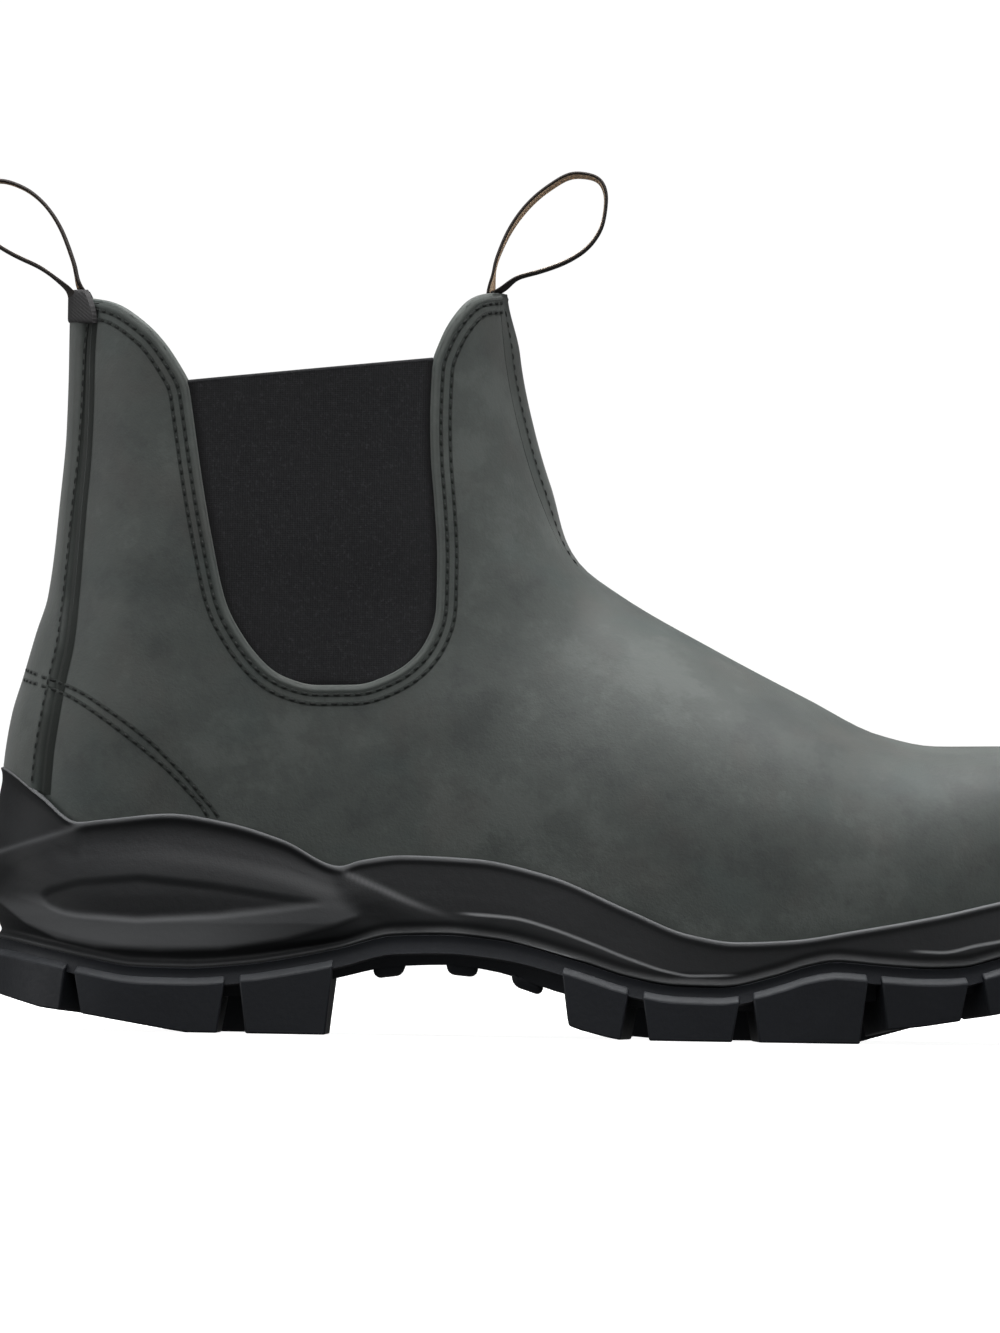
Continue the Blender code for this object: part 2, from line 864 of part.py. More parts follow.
def make_midsole(material):
    """Cup with a sculpted side: band, ribs, heel pod with its lens, and a thin rim round the upper."""
    low = sole_ring(LUG_STEP + BAND_STEP, band_z)
    high = grow(RIM_RING, CUP_CLEARANCE + CUP_RIM)
    pod = bump(low[:, 0], *POD_SPAN)
    lens = bump(low[:, 0], *LENS_SPAN)
    rib = bump(low[:, 0], *ARCH_RIB_SPAN) + bump(low[:, 0], *TOE_RIB_SPAN)
    rings = []
    for up, lean, pod_row, lens_row, rib_row in WALL:
        ring = low + (high - low) * lean
        ring[:, 2] = low[:, 2] + (high[:, 2] - low[:, 2]) * up
        out = POD_BULGE * pod * pod_row - LENS_DEPTH * lens * lens_row + RIB_STEP * rib * rib_row
        rings.append(grow(ring, out))
    rings.append(high)
    for share in CUP_ROWS:
        ring = ring_of(level_path(lambda x: seat_z(x) + (rim_z(x) - seat_z(x)) * share), SHARES)
        rings.append(grow(ring, CUP_CLEARANCE))
    rings[-1] = set_height(rings[-1], seat_z, -CLEARANCE)
    body("midsole", skin(rings, loop=False), material)


def make_insole(material):
    """Footbed inside the foot of the upper."""
    low = set_height(grow(SEAT_RING, -LEATHER - INSOLE_GAP), seat_z, 0)
    high = set_height(grow(low, -INSOLE_GAP), seat_z, INSOLE_THICKNESS)
    body("insole", skin([low, high], loop=False), material)


def ledge_z(x):
    return band_z(x) - LEDGE_DROP


def tube(bm, sections):
    """Adds a closed body through sections with the same number of corners."""
    rows = [[bm.verts.new(p) for p in section] for section in sections]
    count = len(rows[0])
    for low, high in zip(rows, rows[1:]):
        for j in range(count):
            k = (j + 1) % count
            bm.faces.new((low[j], low[k], high[k], high[j]))
    bm.faces.new(rows[0])
    bm.faces.new(rows[-1])


def add_edge_lug(bm, outline, first, last, depth):
    """Lug at the sole's edge between two stations, wider at its ledge than at its tread."""
    reach = np.append(0, np.cumsum(np.linalg.norm(np.diff(outline, axis=0), axis=1)))
    ahead = np.gradient(outline, axis=0)
    inward = np.stack([-ahead[:, 1], ahead[:, 0]], 1) / np.linalg.norm(ahead, axis=1)[:, None]
    inward *= np.sign(outline[0, 1] - outline[len(outline) // 2, 1])
    start, end = np.interp([LAST_LENGTH * first, LAST_LENGTH * last], outline[:, 0], reach)
    start = max(start, CENTRE_GROOVE)
    end = min(end, reach[-1] - CENTRE_GROOVE)
    count = 2 + int((end - start) / LUG_STATION)

    def place(at, inset):
        xy = np.array([np.interp(at, reach, outline[:, k]) for k in (0, 1)])
        turn = np.array([np.interp(at, reach, inward[:, k]) for k in (0, 1)])
        return xy + inset * turn

    sections = []
    for share in np.linspace(0, 1, count):
        tread = start + (end - start) * share
        ledge = tread + LUG_TAPER * (2 * share - 1)
        corners = [
            (*place(tread, LUG_LEAN), tread_z),
            (*place(ledge, 0.0), ledge_z),
            (*place(ledge, LUG_ROOT), lambda x: ledge_z(x) + LUG_BITE),
            (*place(ledge, depth + LUG_TAPER), lambda x: groove_z(x) + LUG_BITE),
            (*place(tread, depth), tread_z),
        ]
        sections.append([(x, y, height(x)) for x, y, height in corners])
    tube(bm, sections)


def add_block(bm, first, last, edges, bottom_z, taper):
    """Lug or bar under the middle of the sole, between two stations and two side edges."""
    sections = []
    for share in (0, 1):
        x = first + (last - first) * share
        over = x + taper * (2 * share - 1)
        near, far = edges(x)
        sections.append([
            (x, near, bottom_z(x)),
            (over, near - taper, groove_z(over) + LUG_BITE),
            (over, far + taper, groove_z(over) + LUG_BITE),
            (x, far, bottom_z(x)),
        ])
    tube(bm, sections)


def make_outsole(material):
    rings = [
        sole_ring(SLAB_UNDERCUT + LUG_BITE, groove_z),
        sole_ring(SLAB_UNDERCUT, ledge_z, -LUG_BITE),
        sole_ring(LUG_STEP, ledge_z, -LUG_BITE / 2),
        sole_ring(LUG_STEP, band_z, -CLEARANCE),
        sole_ring(LUG_STEP + BAND_STEP, band_z, -CLEARANCE),
    ]
    slab_body = body("outsole", skin(rings, loop=False), material)
    edge = sole_ring(0, ledge_z)[:, :2]
    outer = edge[: COLUMNS + 1]
    inner = np.vstack([edge[:1], edge[:COLUMNS - 1:-1]])
    bm = bmesh.new()
    for outline in (outer, inner):
        for first, last, share in EDGE_LUGS:
            add_edge_lug(bm, outline, first, last, LUG_DEPTH * share)
    for first, last, half in MIDDLE_LUGS:
        centre = LAST_BALL_WIDTH * swing_at((first + last) / 2)
        half *= LAST_BALL_WIDTH
        add_block(
            bm, LAST_LENGTH * first, LAST_LENGTH * last,
            lambda x: (centre - half, centre + half), tread_z, LUG_TAPER / 2,
        )
    for station in ARCH_BARS:
        x = LAST_LENGTH * station
        near = np.interp(x, outer[:, 0], outer[:, 1]) + ARCH_BAR_INSET
        far = np.interp(x, inner[:, 0], inner[:, 1]) - ARCH_BAR_INSET
        add_block(
            bm, x - ARCH_BAR_LENGTH / 2, x + ARCH_BAR_LENGTH / 2,
            lambda x: (near, far), lambda x: groove_z(x) - ARCH_BAR_DROP, LUG_TAPER / 2,
        )
    boolean(slab_body, body("lugs", bm, material), "UNION")


# Pull loops


def make_loop(name, front, table, legs, material):
    """Webbing loop on the collar. Its path is in side view, and its foot bows with the rim."""
    way = 1 if front else -1
    rim = COLLAR_HEIGHT * (1.0 if front else BACK_TAB[0][1])
    edge = front_x(rim) if front else back_x(rim)
    inside = edge - way * (LEATHER + LOOP_GAP + WEBBING / 2)
    body_path = [(inside + way * LOOP_HEIGHT * a, rim + CLEARANCE + LOOP_HEIGHT * b) for a, b in table]
    path = line_through([*legs[0](inside, rim), *body_path, *legs[1](edge, rim)], LOOP_ROWS)
    ahead = np.gradient(path, axis=0)
    normal = np.stack([-ahead[:, 1], ahead[:, 0]], 1) / np.linalg.norm(ahead, axis=1)[:, None]
    across = np.linspace(-0.5, 0.5, LOOP_COLUMNS) * WEBBING_WIDTH
    grids = []
    for offset in (WEBBING / 2, -WEBBING / 2):
        line = path + offset * normal
        rows = []
        for (x, z) in line:
            bow = rim_bow(min(z, rim), across, front) * (1 - ease(z - rim, 0, LOOP_HEIGHT / 2))
            rows.append(np.stack([x - way * bow, across, np.full(len(across), z)], 1))
        grids.append(rows)
    body(name, slab(*grids), material)


def rim_bow(z, y, front):
    """How far the shaft's front or back line falls away at distances from the middle."""
    depth = BACK_DEPTH * np.linspace(0, 1, FINE) ** 2
    x = front_x(z) - depth if front else back_x(z) + depth
    half = half_width(x, np.full(FINE, z))
    half[0] = 0
    return np.interp(np.abs(y), half, depth)


def build():
    for old in list(bpy.data.objects):
        bpy.data.objects.remove(old, do_unlink=True)
    leather = finish("waxed nubuck leather", (0.066, 0.076, 0.070), 0.62)
    elastic = finish("black elastic fabric", (0.018, 0.019, 0.020), 0.85)
    webbing = finish("dark webbing", (0.035, 0.030, 0.026), 0.80)
    rubber = finish("moulded charcoal rubber", (0.028, 0.029, 0.030), 0.48)
    tread = finish("blue-black lug rubber", (0.017, 0.020, 0.023), 0.60)
    footbed = finish("footbed fabric", (0.060, 0.058, 0.055), 0.90)

    make_outsole(tread)
    make_midsole(rubber)
    make_insole(footbed)
    make_upper(leather)
    make_gore("gore_outer", -1, elastic)
    make_gore("gore_inner", 1, elastic)
    make_strip("back_strip", False, BACK_STRIP, leather)
    make_strip("front_strip", True, FRONT_STRIP, leather)

    def leg_inside(inside, rim):
        return [(inside, rim - LOOP_LEG), (inside, rim - LOOP_LEG / 2)]

    def leg_outside(edge, rim):
        x = edge - STRIP_GAP - STRIP_WALL - LOOP_GAP - WEBBING / 2
        return [(x, rim - CLEARANCE), (x, rim - LOOP_LEG)]

    def no_leg(edge, rim):
        return []

    make_loop("pull_loop_front", True, FRONT_LOOP, (leg_inside, no_leg), webbing)
    make_loop("pull_loop_back", False, BACK_LOOP, (leg_inside, leg_outside), webbing)
    centre()


def centre():
    """Moves everything so that the origin is under the middle of the whole boot, on the floor."""
    corners = [
        np.array([v.co for v in made.data.vertices])
        for made in bpy.data.objects
        if made.name != "gore_cutter"
    ]
    corners = np.vstack(corners)
    low, high = corners.min(0), corners.max(0)
    for made in bpy.data.objects:
        for vertex in made.data.vertices:
            vertex.co.x -= (low[0] + high[0]) / 2
            vertex.co.y -= (low[1] + high[1]) / 2


build()
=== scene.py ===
"""Looks of the side gore work boot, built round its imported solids.

The last, the cut-outs and the sole's outline are worked out by the same functions of the same named
sizes as in the solids, on finer grids, and each surface then gets its finish.
"""

import math

import bmesh
import bpy
import numpy as np
from bpy.props import FloatProperty, FloatVectorProperty, IntProperty, PointerProperty
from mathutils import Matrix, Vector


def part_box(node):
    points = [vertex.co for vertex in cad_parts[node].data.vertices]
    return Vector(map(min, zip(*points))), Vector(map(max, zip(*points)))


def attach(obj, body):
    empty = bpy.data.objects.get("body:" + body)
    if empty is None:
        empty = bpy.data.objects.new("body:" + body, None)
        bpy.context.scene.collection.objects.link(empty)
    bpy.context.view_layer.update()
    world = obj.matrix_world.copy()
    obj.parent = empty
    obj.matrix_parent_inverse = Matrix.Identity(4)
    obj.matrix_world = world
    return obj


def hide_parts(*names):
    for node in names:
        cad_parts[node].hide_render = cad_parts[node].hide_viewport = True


bl_info = {
    "name": "Side gore work boot",
    "version": (1, 0, 0),
    "blender": (4, 5, 0),
    "location": "View3D > Sidebar > Boot",
    "description": "Dresses the boot's solids in leather, elastic, webbing and moulded rubber",
    "category": "Object",
}

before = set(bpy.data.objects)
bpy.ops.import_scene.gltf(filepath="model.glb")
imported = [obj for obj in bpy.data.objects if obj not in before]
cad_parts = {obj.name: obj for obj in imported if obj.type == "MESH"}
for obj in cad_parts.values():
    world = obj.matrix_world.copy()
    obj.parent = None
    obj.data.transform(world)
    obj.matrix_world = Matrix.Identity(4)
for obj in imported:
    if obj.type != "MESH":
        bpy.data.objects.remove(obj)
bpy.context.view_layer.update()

MM = 0.001

# Driving sizes of the solids: metres where a value carries MM, otherwise shares, powers and counts.
LAST_LENGTH = 284 * MM
LAST_BALL_WIDTH = 101 * MM
COLLAR_HEIGHT = 188 * MM
COLLAR_WIDTH = 62 * MM
HEEL_SEAT = 39 * MM
RIM_HEIGHT = 54.6 * MM
TREAD_BAND = 16.4 * MM
SOLE_FLARE = 7 * MM
CLEARANCE = 0.3 * MM
CUP_CLEARANCE = 0.4 * MM
BACK_DEPTH = 40 * MM
FRONT_DEPTH = 46 * MM
TOE_DEPTH = 0.30
CLOSING = 2.15
SOFTNESS = 6.0
SAG_FADE = 0.35
SAG_POWER = 1.5
SHAFT_SLOPE = 6.0
SWING_FADE = (0.27, 0.62)
SHAFT_START = (0.32, 0.61)
FOREFOOT_START = (0.42, 0.62)
FRONT_START = (0.50, 0.66)
FINE = 400
SAMPLES = 12
SETTLING = 12
END_CROWDING = 0.05
TINY = 1e-6
APART = 1e-9
SLOPE_STEP = 0.2 * MM

# Tables of the solids. A station is a share of the last's length, and a height is a share of the
# collar's, the heel seat's, the rim's or the tread band's.
TOP_LINE = [
    (1.0000, 0.170), (0.9995, 0.235), (0.9930, 0.287), (0.9740, 0.340), (0.9400, 0.382),
    (0.8950, 0.4015), (0.8300, 0.400), (0.7820, 0.413), (0.7150, 0.461), (0.6290, 0.527),
    (0.5450, 0.598), (0.5100, 0.638), (0.4870, 0.700), (0.4620, 0.810), (0.4480, 0.906),
    (0.4410, 1.000),
]
BACK_LINE = [
    (0.15, 0.0085), (0.22, 0.0050), (0.31, 0.0025), (0.36, 0.0050), (0.42, 0.0110), (0.47, 0.0205),
    (0.53, 0.0315), (0.58, 0.0415), (0.71, 0.0510), (0.81, 0.0560), (0.90, 0.0570), (1.00, 0.0570),
]
RING_PATHS = [
    (0.000, 0.000), (0.040, 0.045), (0.080, 0.100), (0.140, 0.200), (0.210, 0.330),
    (0.330, 0.520), (0.460, 0.690), (0.700, 0.840), (1.000, 1.000),
]
SEAT_LINE = [
    (-0.02, 1.000), (0.15, 1.000), (0.30, 0.930), (0.42, 0.790), (0.55, 0.630), (0.65, 0.560),
    (0.72, 0.585), (0.77, 0.620), (0.85, 0.690), (0.94, 0.810), (1.00, 0.920), (1.03, 0.970),
]
PLAN = [
    (0.00, 0.66, 0.000), (0.16, 0.68, 0.000), (0.30, 0.66, -0.030), (0.42, 0.72, -0.045),
    (0.55, 0.90, -0.040), (0.66, 0.99, -0.020), (0.76, 1.00, 0.015), (0.88, 0.99, 0.050),
    (1.00, 0.97, 0.070),
]
SHAFT_WIDTH = [(0.30, 1.10), (0.48, 1.08), (0.64, 1.05), (0.80, 1.00), (1.00, 0.97)]
FLARE = [
    (0.00, 0.78), (0.10, 0.93), (0.25, 1.00), (0.42, 0.86), (0.66, 0.60), (0.80, 0.66),
    (0.92, 0.86), (1.00, 0.97),
]
RIM_LINE = [
    (-0.020, 1.235), (0.000, 1.215), (0.035, 1.085), (0.069, 0.955), (0.095, 0.970), (0.150, 1.000),
    (0.200, 0.964), (0.250, 0.888), (0.301, 0.771), (0.320, 0.800), (0.360, 0.826), (0.420, 0.815),
    (0.485, 0.748), (0.560, 0.588), (0.612, 0.483), (0.652, 0.452), (0.700, 0.464), (0.760, 0.516),
    (0.835, 0.592), (0.890, 0.661), (1.000, 0.760), (1.030, 0.780),
]
BAND_LINE = [
    (-0.025, 1.430), (0.000, 1.390), (0.040, 1.260), (0.081, 1.115), (0.122, 1.010), (0.165, 1.000),
    (0.213, 1.060), (0.270, 1.220), (0.302, 1.340), (0.350, 1.550), (0.395, 1.575), (0.440, 1.510),
    (0.514, 1.205), (0.561, 0.960), (0.601, 0.850), (0.640, 0.840), (0.688, 1.020), (0.718, 1.190),
    (0.742, 1.262), (0.780, 1.215), (0.822, 1.177), (0.852, 1.195), (0.890, 1.360), (0.940, 1.560),
    (1.000, 1.850), (1.030, 1.950),
]
GROOVE_LINE = [
    (-0.025, 0.890), (0.050, 0.620), (0.160, 0.550), (0.230, 0.580), (0.300, 0.870), (0.352, 1.065),
    (0.400, 1.100), (0.440, 1.010), (0.504, 0.680), (0.563, 0.500), (0.670, 0.475), (0.740, 0.550),
    (0.775, 0.655), (0.830, 0.700), (0.890, 0.890), (0.940, 1.070), (1.000, 1.350), (1.030, 1.450),
]
TREAD_LINE = [
    (-0.025, 0.660), (0.000, 0.520), (0.035, 0.345), (0.070, 0.270), (0.110, 0.155), (0.165, 0.000),
    (0.200, 0.000), (0.296, 0.000), (0.500, 0.000), (0.502, 0.230), (0.520, 0.120), (0.550, 0.000),
    (0.600, 0.000), (0.766, 0.000), (0.774, 0.190), (0.820, 0.275), (0.860, 0.390), (0.893, 0.500),
    (0.950, 0.700), (1.000, 0.950), (1.030, 1.080),
]
EDGE_LUGS = [
    (-0.020, 0.052, 0.50), (0.071, 0.194, 0.80), (0.219, 0.290, 0.90), (0.505, 0.552, 0.90),
    (0.577, 0.651, 1.00), (0.675, 0.765, 1.00), (0.789, 0.855, 0.90), (0.880, 0.950, 0.70),
    (0.962, 1.022, 0.50),
]
MIDDLE_LUGS = [
    (0.085, 0.150, 0.075), (0.168, 0.232, 0.075), (0.530, 0.590, 0.130), (0.607, 0.682, 0.165),
    (0.699, 0.748, 0.175), (0.765, 0.821, 0.150), (0.838, 0.890, 0.110),
]
ARCH_BARS = (0.346, 0.411, 0.469)
GORE_REAR = [
    (0.1577, 0.872), (0.1627, 0.824), (0.1718, 0.738), (0.1830, 0.650), (0.1958, 0.572),
    (0.2080, 0.538), (0.2225, 0.508), (0.2430, 0.481), (0.2700, 0.467),
]
GORE_FRONT = [
    (0.3771, 0.908), (0.3757, 0.830), (0.3768, 0.778), (0.3803, 0.720), (0.3838, 0.640),
    (0.3835, 0.572), (0.3732, 0.525), (0.3514, 0.491), (0.3200, 0.469),
]
BACK_TAB = [(0.0600, 0.984), (0.0850, 0.979), (0.1172, 0.951), (0.1310, 0.932), (0.1451, 0.903)]
FRONT_TAB = [(0.4270, 0.9995), (0.4137, 0.994), (0.4000, 0.974), (0.3891, 0.950), (0.3813, 0.922)]
BACK_STRIP = [
    (0.320, 0.0363), (0.371, 0.0387), (0.414, 0.0426), (0.470, 0.0489), (0.522, 0.0556),
    (0.578, 0.0592), (0.713, 0.0651), (0.771, 0.0680), (0.839, 0.0694), (0.908, 0.0697),
    (0.975, 0.0725),
]
FRONT_STRIP = [(0.655, 0.0074), (0.800, 0.0074), (0.992, 0.0074)]
FRONT_LOOP = [
    (0.00, 0.00), (0.00, 0.16), (0.07, 0.40), (0.22, 0.66), (0.44, 0.87), (0.66, 0.98), (0.84, 0.95),
    (0.91, 0.80), (0.89, 0.60), (0.79, 0.41), (0.60, 0.27), (0.37, 0.18), (0.18, 0.12),
    (0.09, 0.025),
]
BACK_LOOP = [
    (0.00, 0.00), (0.03, 0.14), (0.12, 0.33), (0.26, 0.58), (0.42, 0.79), (0.58, 0.90), (0.76, 0.95),
    (0.92, 0.90), (0.97, 0.74), (0.90, 0.53), (0.74, 0.38), (0.56, 0.27), (0.38, 0.18), (0.22, 0.06),
]
LOOP_HEIGHT = 31 * MM
LOOP_LEG = 8 * MM
LOOP_GAP = 0.8 * MM
STRIP_GAP = 0.7 * MM

# Sizes of the outsole's lugs and slab, as in the solids.
LUG_STEP = 1.5 * MM
LUG_DEPTH = 25 * MM
LUG_TAPER = 1.7 * MM
LEDGE_DROP = 4.2 * MM
LUG_STATION = 8 * MM
LUG_LEAN = 0.8 * MM
LUG_ROOT = 4.0 * MM
LUG_BITE = 1.2 * MM
CENTRE_GROOVE = 4.0 * MM
SLAB_UNDERCUT = 7.0 * MM
BAND_STEP = 0.9 * MM
ARCH_BAR_LENGTH = 7 * MM
ARCH_BAR_DROP = 2.4 * MM
ARCH_BAR_INSET = 9 * MM

# Relief on the midsole's side, in millimetres of station and height on the last.
# Upper edge of the heel pod behind and in front of where it meets the rim.
POD_TAIL = [(85.4, 42.1), (89.0, 40.1), (96.2, 37.0), (101.7, 34.6), (110.0, 31.5), (120.0, 28.5)]
POD_HEEL = [(-12.0, 38.0), (-1.0, 43.7), (4.9, 46.1), (11.6, 48.8), (16.9, 50.9), (20.5, 51.8)]
# Leaf shaped band on the pod and the lens sunk in it: station, top and bottom.
LEAF = [
    (0.5, 32.8, 32.6), (1.5, 33.7, 31.6), (7.0, 40.1, 26.6), (14.0, 43.1, 23.1), (24.0, 45.2, 21.2),
    (40.0, 45.4, 20.5), (56.0, 43.3, 21.1), (72.0, 39.6, 23.9), (84.0, 35.2, 27.4),
    (90.7, 30.1, 29.9),
]
LENS = [
    (12.0, 33.8, 33.4), (14.0, 35.2, 31.4), (17.3, 36.4, 29.9), (21.0, 37.4, 29.3),
    (35.0, 38.8, 28.4), (55.0, 36.8, 29.7), (70.0, 34.6, 31.6), (80.5, 33.3, 33.1),
]
# Ribs under the arch and at the toe, as lines of station and height.
RIBS = [
    [(116.0, 31.2), (129.6, 30.2), (137.6, 28.2), (148.5, 24.4), (159.2, 20.3), (168.4, 17.4),
     (173.9, 16.5), (186.4, 16.8)],
    [(128.8, 24.4), (138.0, 22.2), (147.9, 19.6)],
    [(229.5, 23.6), (237.4, 23.3), (245.8, 25.1), (252.8, 26.5), (268.0, 31.5), (282.0, 36.0)],
]
# Side wall of the midsole: share of the way up, lean towards the rim, bulge of the heel pod.
WALL = [
    (0.00, 0.00, -0.10), (0.07, 0.01, -0.30), (0.15, 0.04, 0.35), (0.27, 0.10, 0.85),
    (0.31, 0.13, 0.95), (0.46, 0.26, 1.00), (0.58, 0.42, 0.85), (0.64, 0.50, 0.70),
    (0.78, 0.70, 0.15), (0.92, 0.90, -0.20), (1.00, 1.00, 0.00),
]
POD_BULGE = 2.6 * MM
POD_SPAN = (-0.028, 0.310, 0.032)
# Stitched rows that hold the heel's counter, in millimetres of station and height.
COUNTER_SEAMS = [
    [(10.5, 86.4), (14.6, 85.0), (20.0, 82.1), (25.3, 78.6), (30.7, 74.7), (36.1, 70.6),
     (41.5, 66.1), (45.9, 61.7), (50.3, 56.9), (52.0, 54.2)],
    [(10.5, 88.7), (14.6, 87.3), (19.9, 84.9), (25.3, 81.5), (31.8, 77.1), (37.2, 72.9),
     (41.4, 69.0), (47.0, 63.4), (50.5, 59.3), (52.9, 56.6), (54.6, 54.2)],
]
# The same two rows where they cross the back strip.
CROSS_ROWS = [[(6.1, 87.8), (7.6, 87.3), (9.6, 86.7)], [(5.6, 90.7), (7.4, 90.0), (9.6, 89.1)]]

# Soft creases of the upper: station, height, slant in degrees, length, width and depth, in mm.
CREASES = [
    (150, 96, -38, 34, 11, -0.45),
    (163, 84, -52, 40, 13, 0.40),
    (176, 74, -60, 36, 12, -0.40),
    (118, 84, 24, 42, 15, 0.45),
    (36, 92, 12, 40, 16, -0.40),
    (30, 120, -8, 30, 14, 0.35),
    (138, 118, -66, 30, 10, 0.35),
    (214, 58, -30, 46, 20, -0.35),
]


def length(name, description, default):
    return FloatProperty(name=name, description=description, default=default, unit="LENGTH")


class BootSizes(bpy.types.PropertyGroup):
    """Sizes of what the scene adds to the solids."""

    wall: length("Leather", "Thickness of the upper's leather", 2.2 * MM)
    strip: length("Strip", "Thickness of the back and front strips", 1.1 * MM)
    edge: length("Folded edge", "Half thickness of the leather's folded edge", 1.15 * MM)
    elastic: length("Elastic", "Thickness of the elastic", 1.3 * MM)
    webbing: length("Webbing", "Thickness of the pull loops", 1.0 * MM)
    webbing_width: length("Webbing width", "Width of the pull loops", 20 * MM)
    stitch: length("Stitch", "Length of one stitch", 1.9 * MM)
    pitch: length("Stitch pitch", "Distance from stitch to stitch", 2.7 * MM)
    thread: length("Thread", "Thickness of the thread", 0.76 * MM)
    first_row: length("First row", "Distance of the first row of stitches from the edge", 2.3 * MM)
    second_row: length("Second row", "Distance of the second row of stitches from the edge", 4.6 * MM)
    groove: length("Groove", "Width of the dark groove inside the back strip's edge", 0.9 * MM)
    ledge: length("Ledge", "Height of the sloping ledge on top of a lug", 1.7 * MM)
    rim: length("Sole rim", "Thickness of the midsole's rim", 1.7 * MM)
    columns: IntProperty(
        name="Columns", description="Grid columns along each side of the upper", default=120, min=30,
    )
    sole_columns: IntProperty(
        name="Sole columns", description="Grid columns along each side of the midsole",
        default=390, min=60,
    )


def colour_property(name, description, default):
    return FloatVectorProperty(
        name=name, description=description, default=default, size=3, subtype="COLOR", min=0, max=1
    )


class BootColours(bpy.types.PropertyGroup):
    """Base colours of the finishes."""

    leather: colour_property("Leather", "Middle tone of the waxed nubuck", (0.0345, 0.0402, 0.0370))
    leather_light: colour_property("Leather, rubbed", "Lighter clouds", (0.0500, 0.0565, 0.0525))
    leather_dark: colour_property("Leather, waxed", "Darker clouds", (0.0245, 0.0290, 0.0272))
    # Colour that the light mark paints: the folded edge lighter, and painted highlights on the
    # strips.
    edge: colour_property("Leather, edge", "Lighter edges and painted highlights on the strips", (0.0760, 0.0840, 0.0780))
    # Colour that the dark mark paints: painted shade in the seam lines and the back strip's groove,
    # which is in part edge dye.
    groove: colour_property("Groove", "Groove and seams, painted shade with some edge dye", (0.0085, 0.0105, 0.0092))
    elastic: colour_property("Elastic", "Knitted elastic", (0.0110, 0.0113, 0.0122))
    rubber: colour_property("Midsole", "Moulded charcoal", (0.0080, 0.0086, 0.0094))
    # Lighter colour that the light mark paints on the midsole: painted highlights and painted light
    # from below.
    rubber_painted_light: colour_property("Midsole, painted light", "Beads and bands", (0.1100, 0.1130, 0.1170))
    tread: colour_property("Lugs", "Blue-black rubber", (0.0050, 0.0062, 0.0088))
    # Lighter colour of the lugs' ledges, a painted highlight.
    ledge: colour_property("Ledges", "Tops of the lugs", (0.0180, 0.0200, 0.0230))
    thread: colour_property("Thread", "Dark thread", (0.0050, 0.0060, 0.0055))
    webbing: colour_property("Webbing, outside", "Dark face", (0.040, 0.034, 0.031))
    webbing_back: colour_property("Webbing, inside", "Tan face", (0.620, 0.510, 0.400))
    lining: colour_property("Lining", "Textile lining", (0.120, 0.115, 0.105))
    footbed: colour_property("Footbed", "Footbed cover", (0.050, 0.050, 0.052))


# Second tones, which the colours above pass into where a finish is worn, cloudy or shaded.
LEATHER_WARM = (0.0400, 0.0375, 0.0340)
LEATHER_COLD = (0.0290, 0.0420, 0.0400)
KNIT_BASE = (0.0062, 0.0064, 0.0072)
KNIT_FLECK = (0.030, 0.030, 0.033)
KNIT_CLOUD = (0.0150, 0.0150, 0.0162)
KNIT_PAINTED_SHADOW = (0.0035, 0.0035, 0.0038)
RUBBER_CLOUD = (0.0100, 0.0106, 0.0115)
RUBBER_SCUFF = (0.040, 0.041, 0.044)
TREAD_CLOUD = (0.0070, 0.0084, 0.0115)
LEDGE_CLOUD = (0.0230, 0.0250, 0.0285)
THREAD_LIGHT = (0.0110, 0.0130, 0.0118)
WEBBING_SHADE = (0.012, 0.010, 0.009)
WEBBING_BACK_SHADE = (0.520, 0.420, 0.320)
WEBBING_WORN = (0.041, 0.040, 0.041)
WEBBING_WORN_SHADE = (0.026, 0.0255, 0.026)
FOOTBED_CLOUD = (0.085, 0.084, 0.084)
FLOOR_DARK = (0.50, 0.50, 0.50)
FLOOR_LIGHT = (0.54, 0.54, 0.54)
PAPER_NEAR = (0.97, 0.97, 0.97)
PAPER_FAR = (1.02, 1.02, 1.02)


# Curves through a table


def column(table, k):
    return [row[k] for row in table]


def track(stations, values):
    """A smooth curve through a table that never overshoots: cubic pieces with limited slopes."""
    x = np.asarray(stations, float)
    y = np.asarray(values, float)
    run = np.diff(x)
    rise = np.diff(y) / run
    slope = np.zeros(len(x))
    slope[0], slope[-1] = rise[0], rise[-1]
    same = rise[1:] * rise[:-1] > 0
    before = 2 * run[1:] + run[:-1]
    after = run[1:] + 2 * run[:-1]
    with np.errstate(divide="ignore", invalid="ignore"):
        mean = (before + after) / (before / rise[:-1] + after / rise[1:])
    slope[1:-1] = np.where(same, mean, 0.0)

    def at(q):
        q = np.clip(q, x[0], x[-1])
        i = np.clip(np.searchsorted(x, q) - 1, 0, len(run) - 1)
        t = (q - x[i]) / run[i]
        h = run[i]
        return (
            y[i] * (1 + 2 * t) * (1 - t) ** 2
            + slope[i] * h * t * (1 - t) ** 2
            + y[i + 1] * t * t * (3 - 2 * t)
            + slope[i + 1] * h * t * t * (t - 1)
        )

    return at


def table_track(table, k=1):
    return track(column(table, 0), column(table, k))


def reach_of(points):
    """Length of a line up to each of its points."""
    return np.append(0, np.cumsum(np.linalg.norm(np.diff(points, axis=0), axis=1)))


def unit(vectors):
    """The same directions with a length of one."""
    return vectors / np.linalg.norm(vectors, axis=-1)[..., None]


def resample(points, shares):
    """Points of a line at the given shares of its length."""
    reach = reach_of(points)
    places = np.asarray(shares) * reach[-1]
    return np.stack([np.interp(places, reach, points[:, k]) for k in range(points.shape[1])], 1)


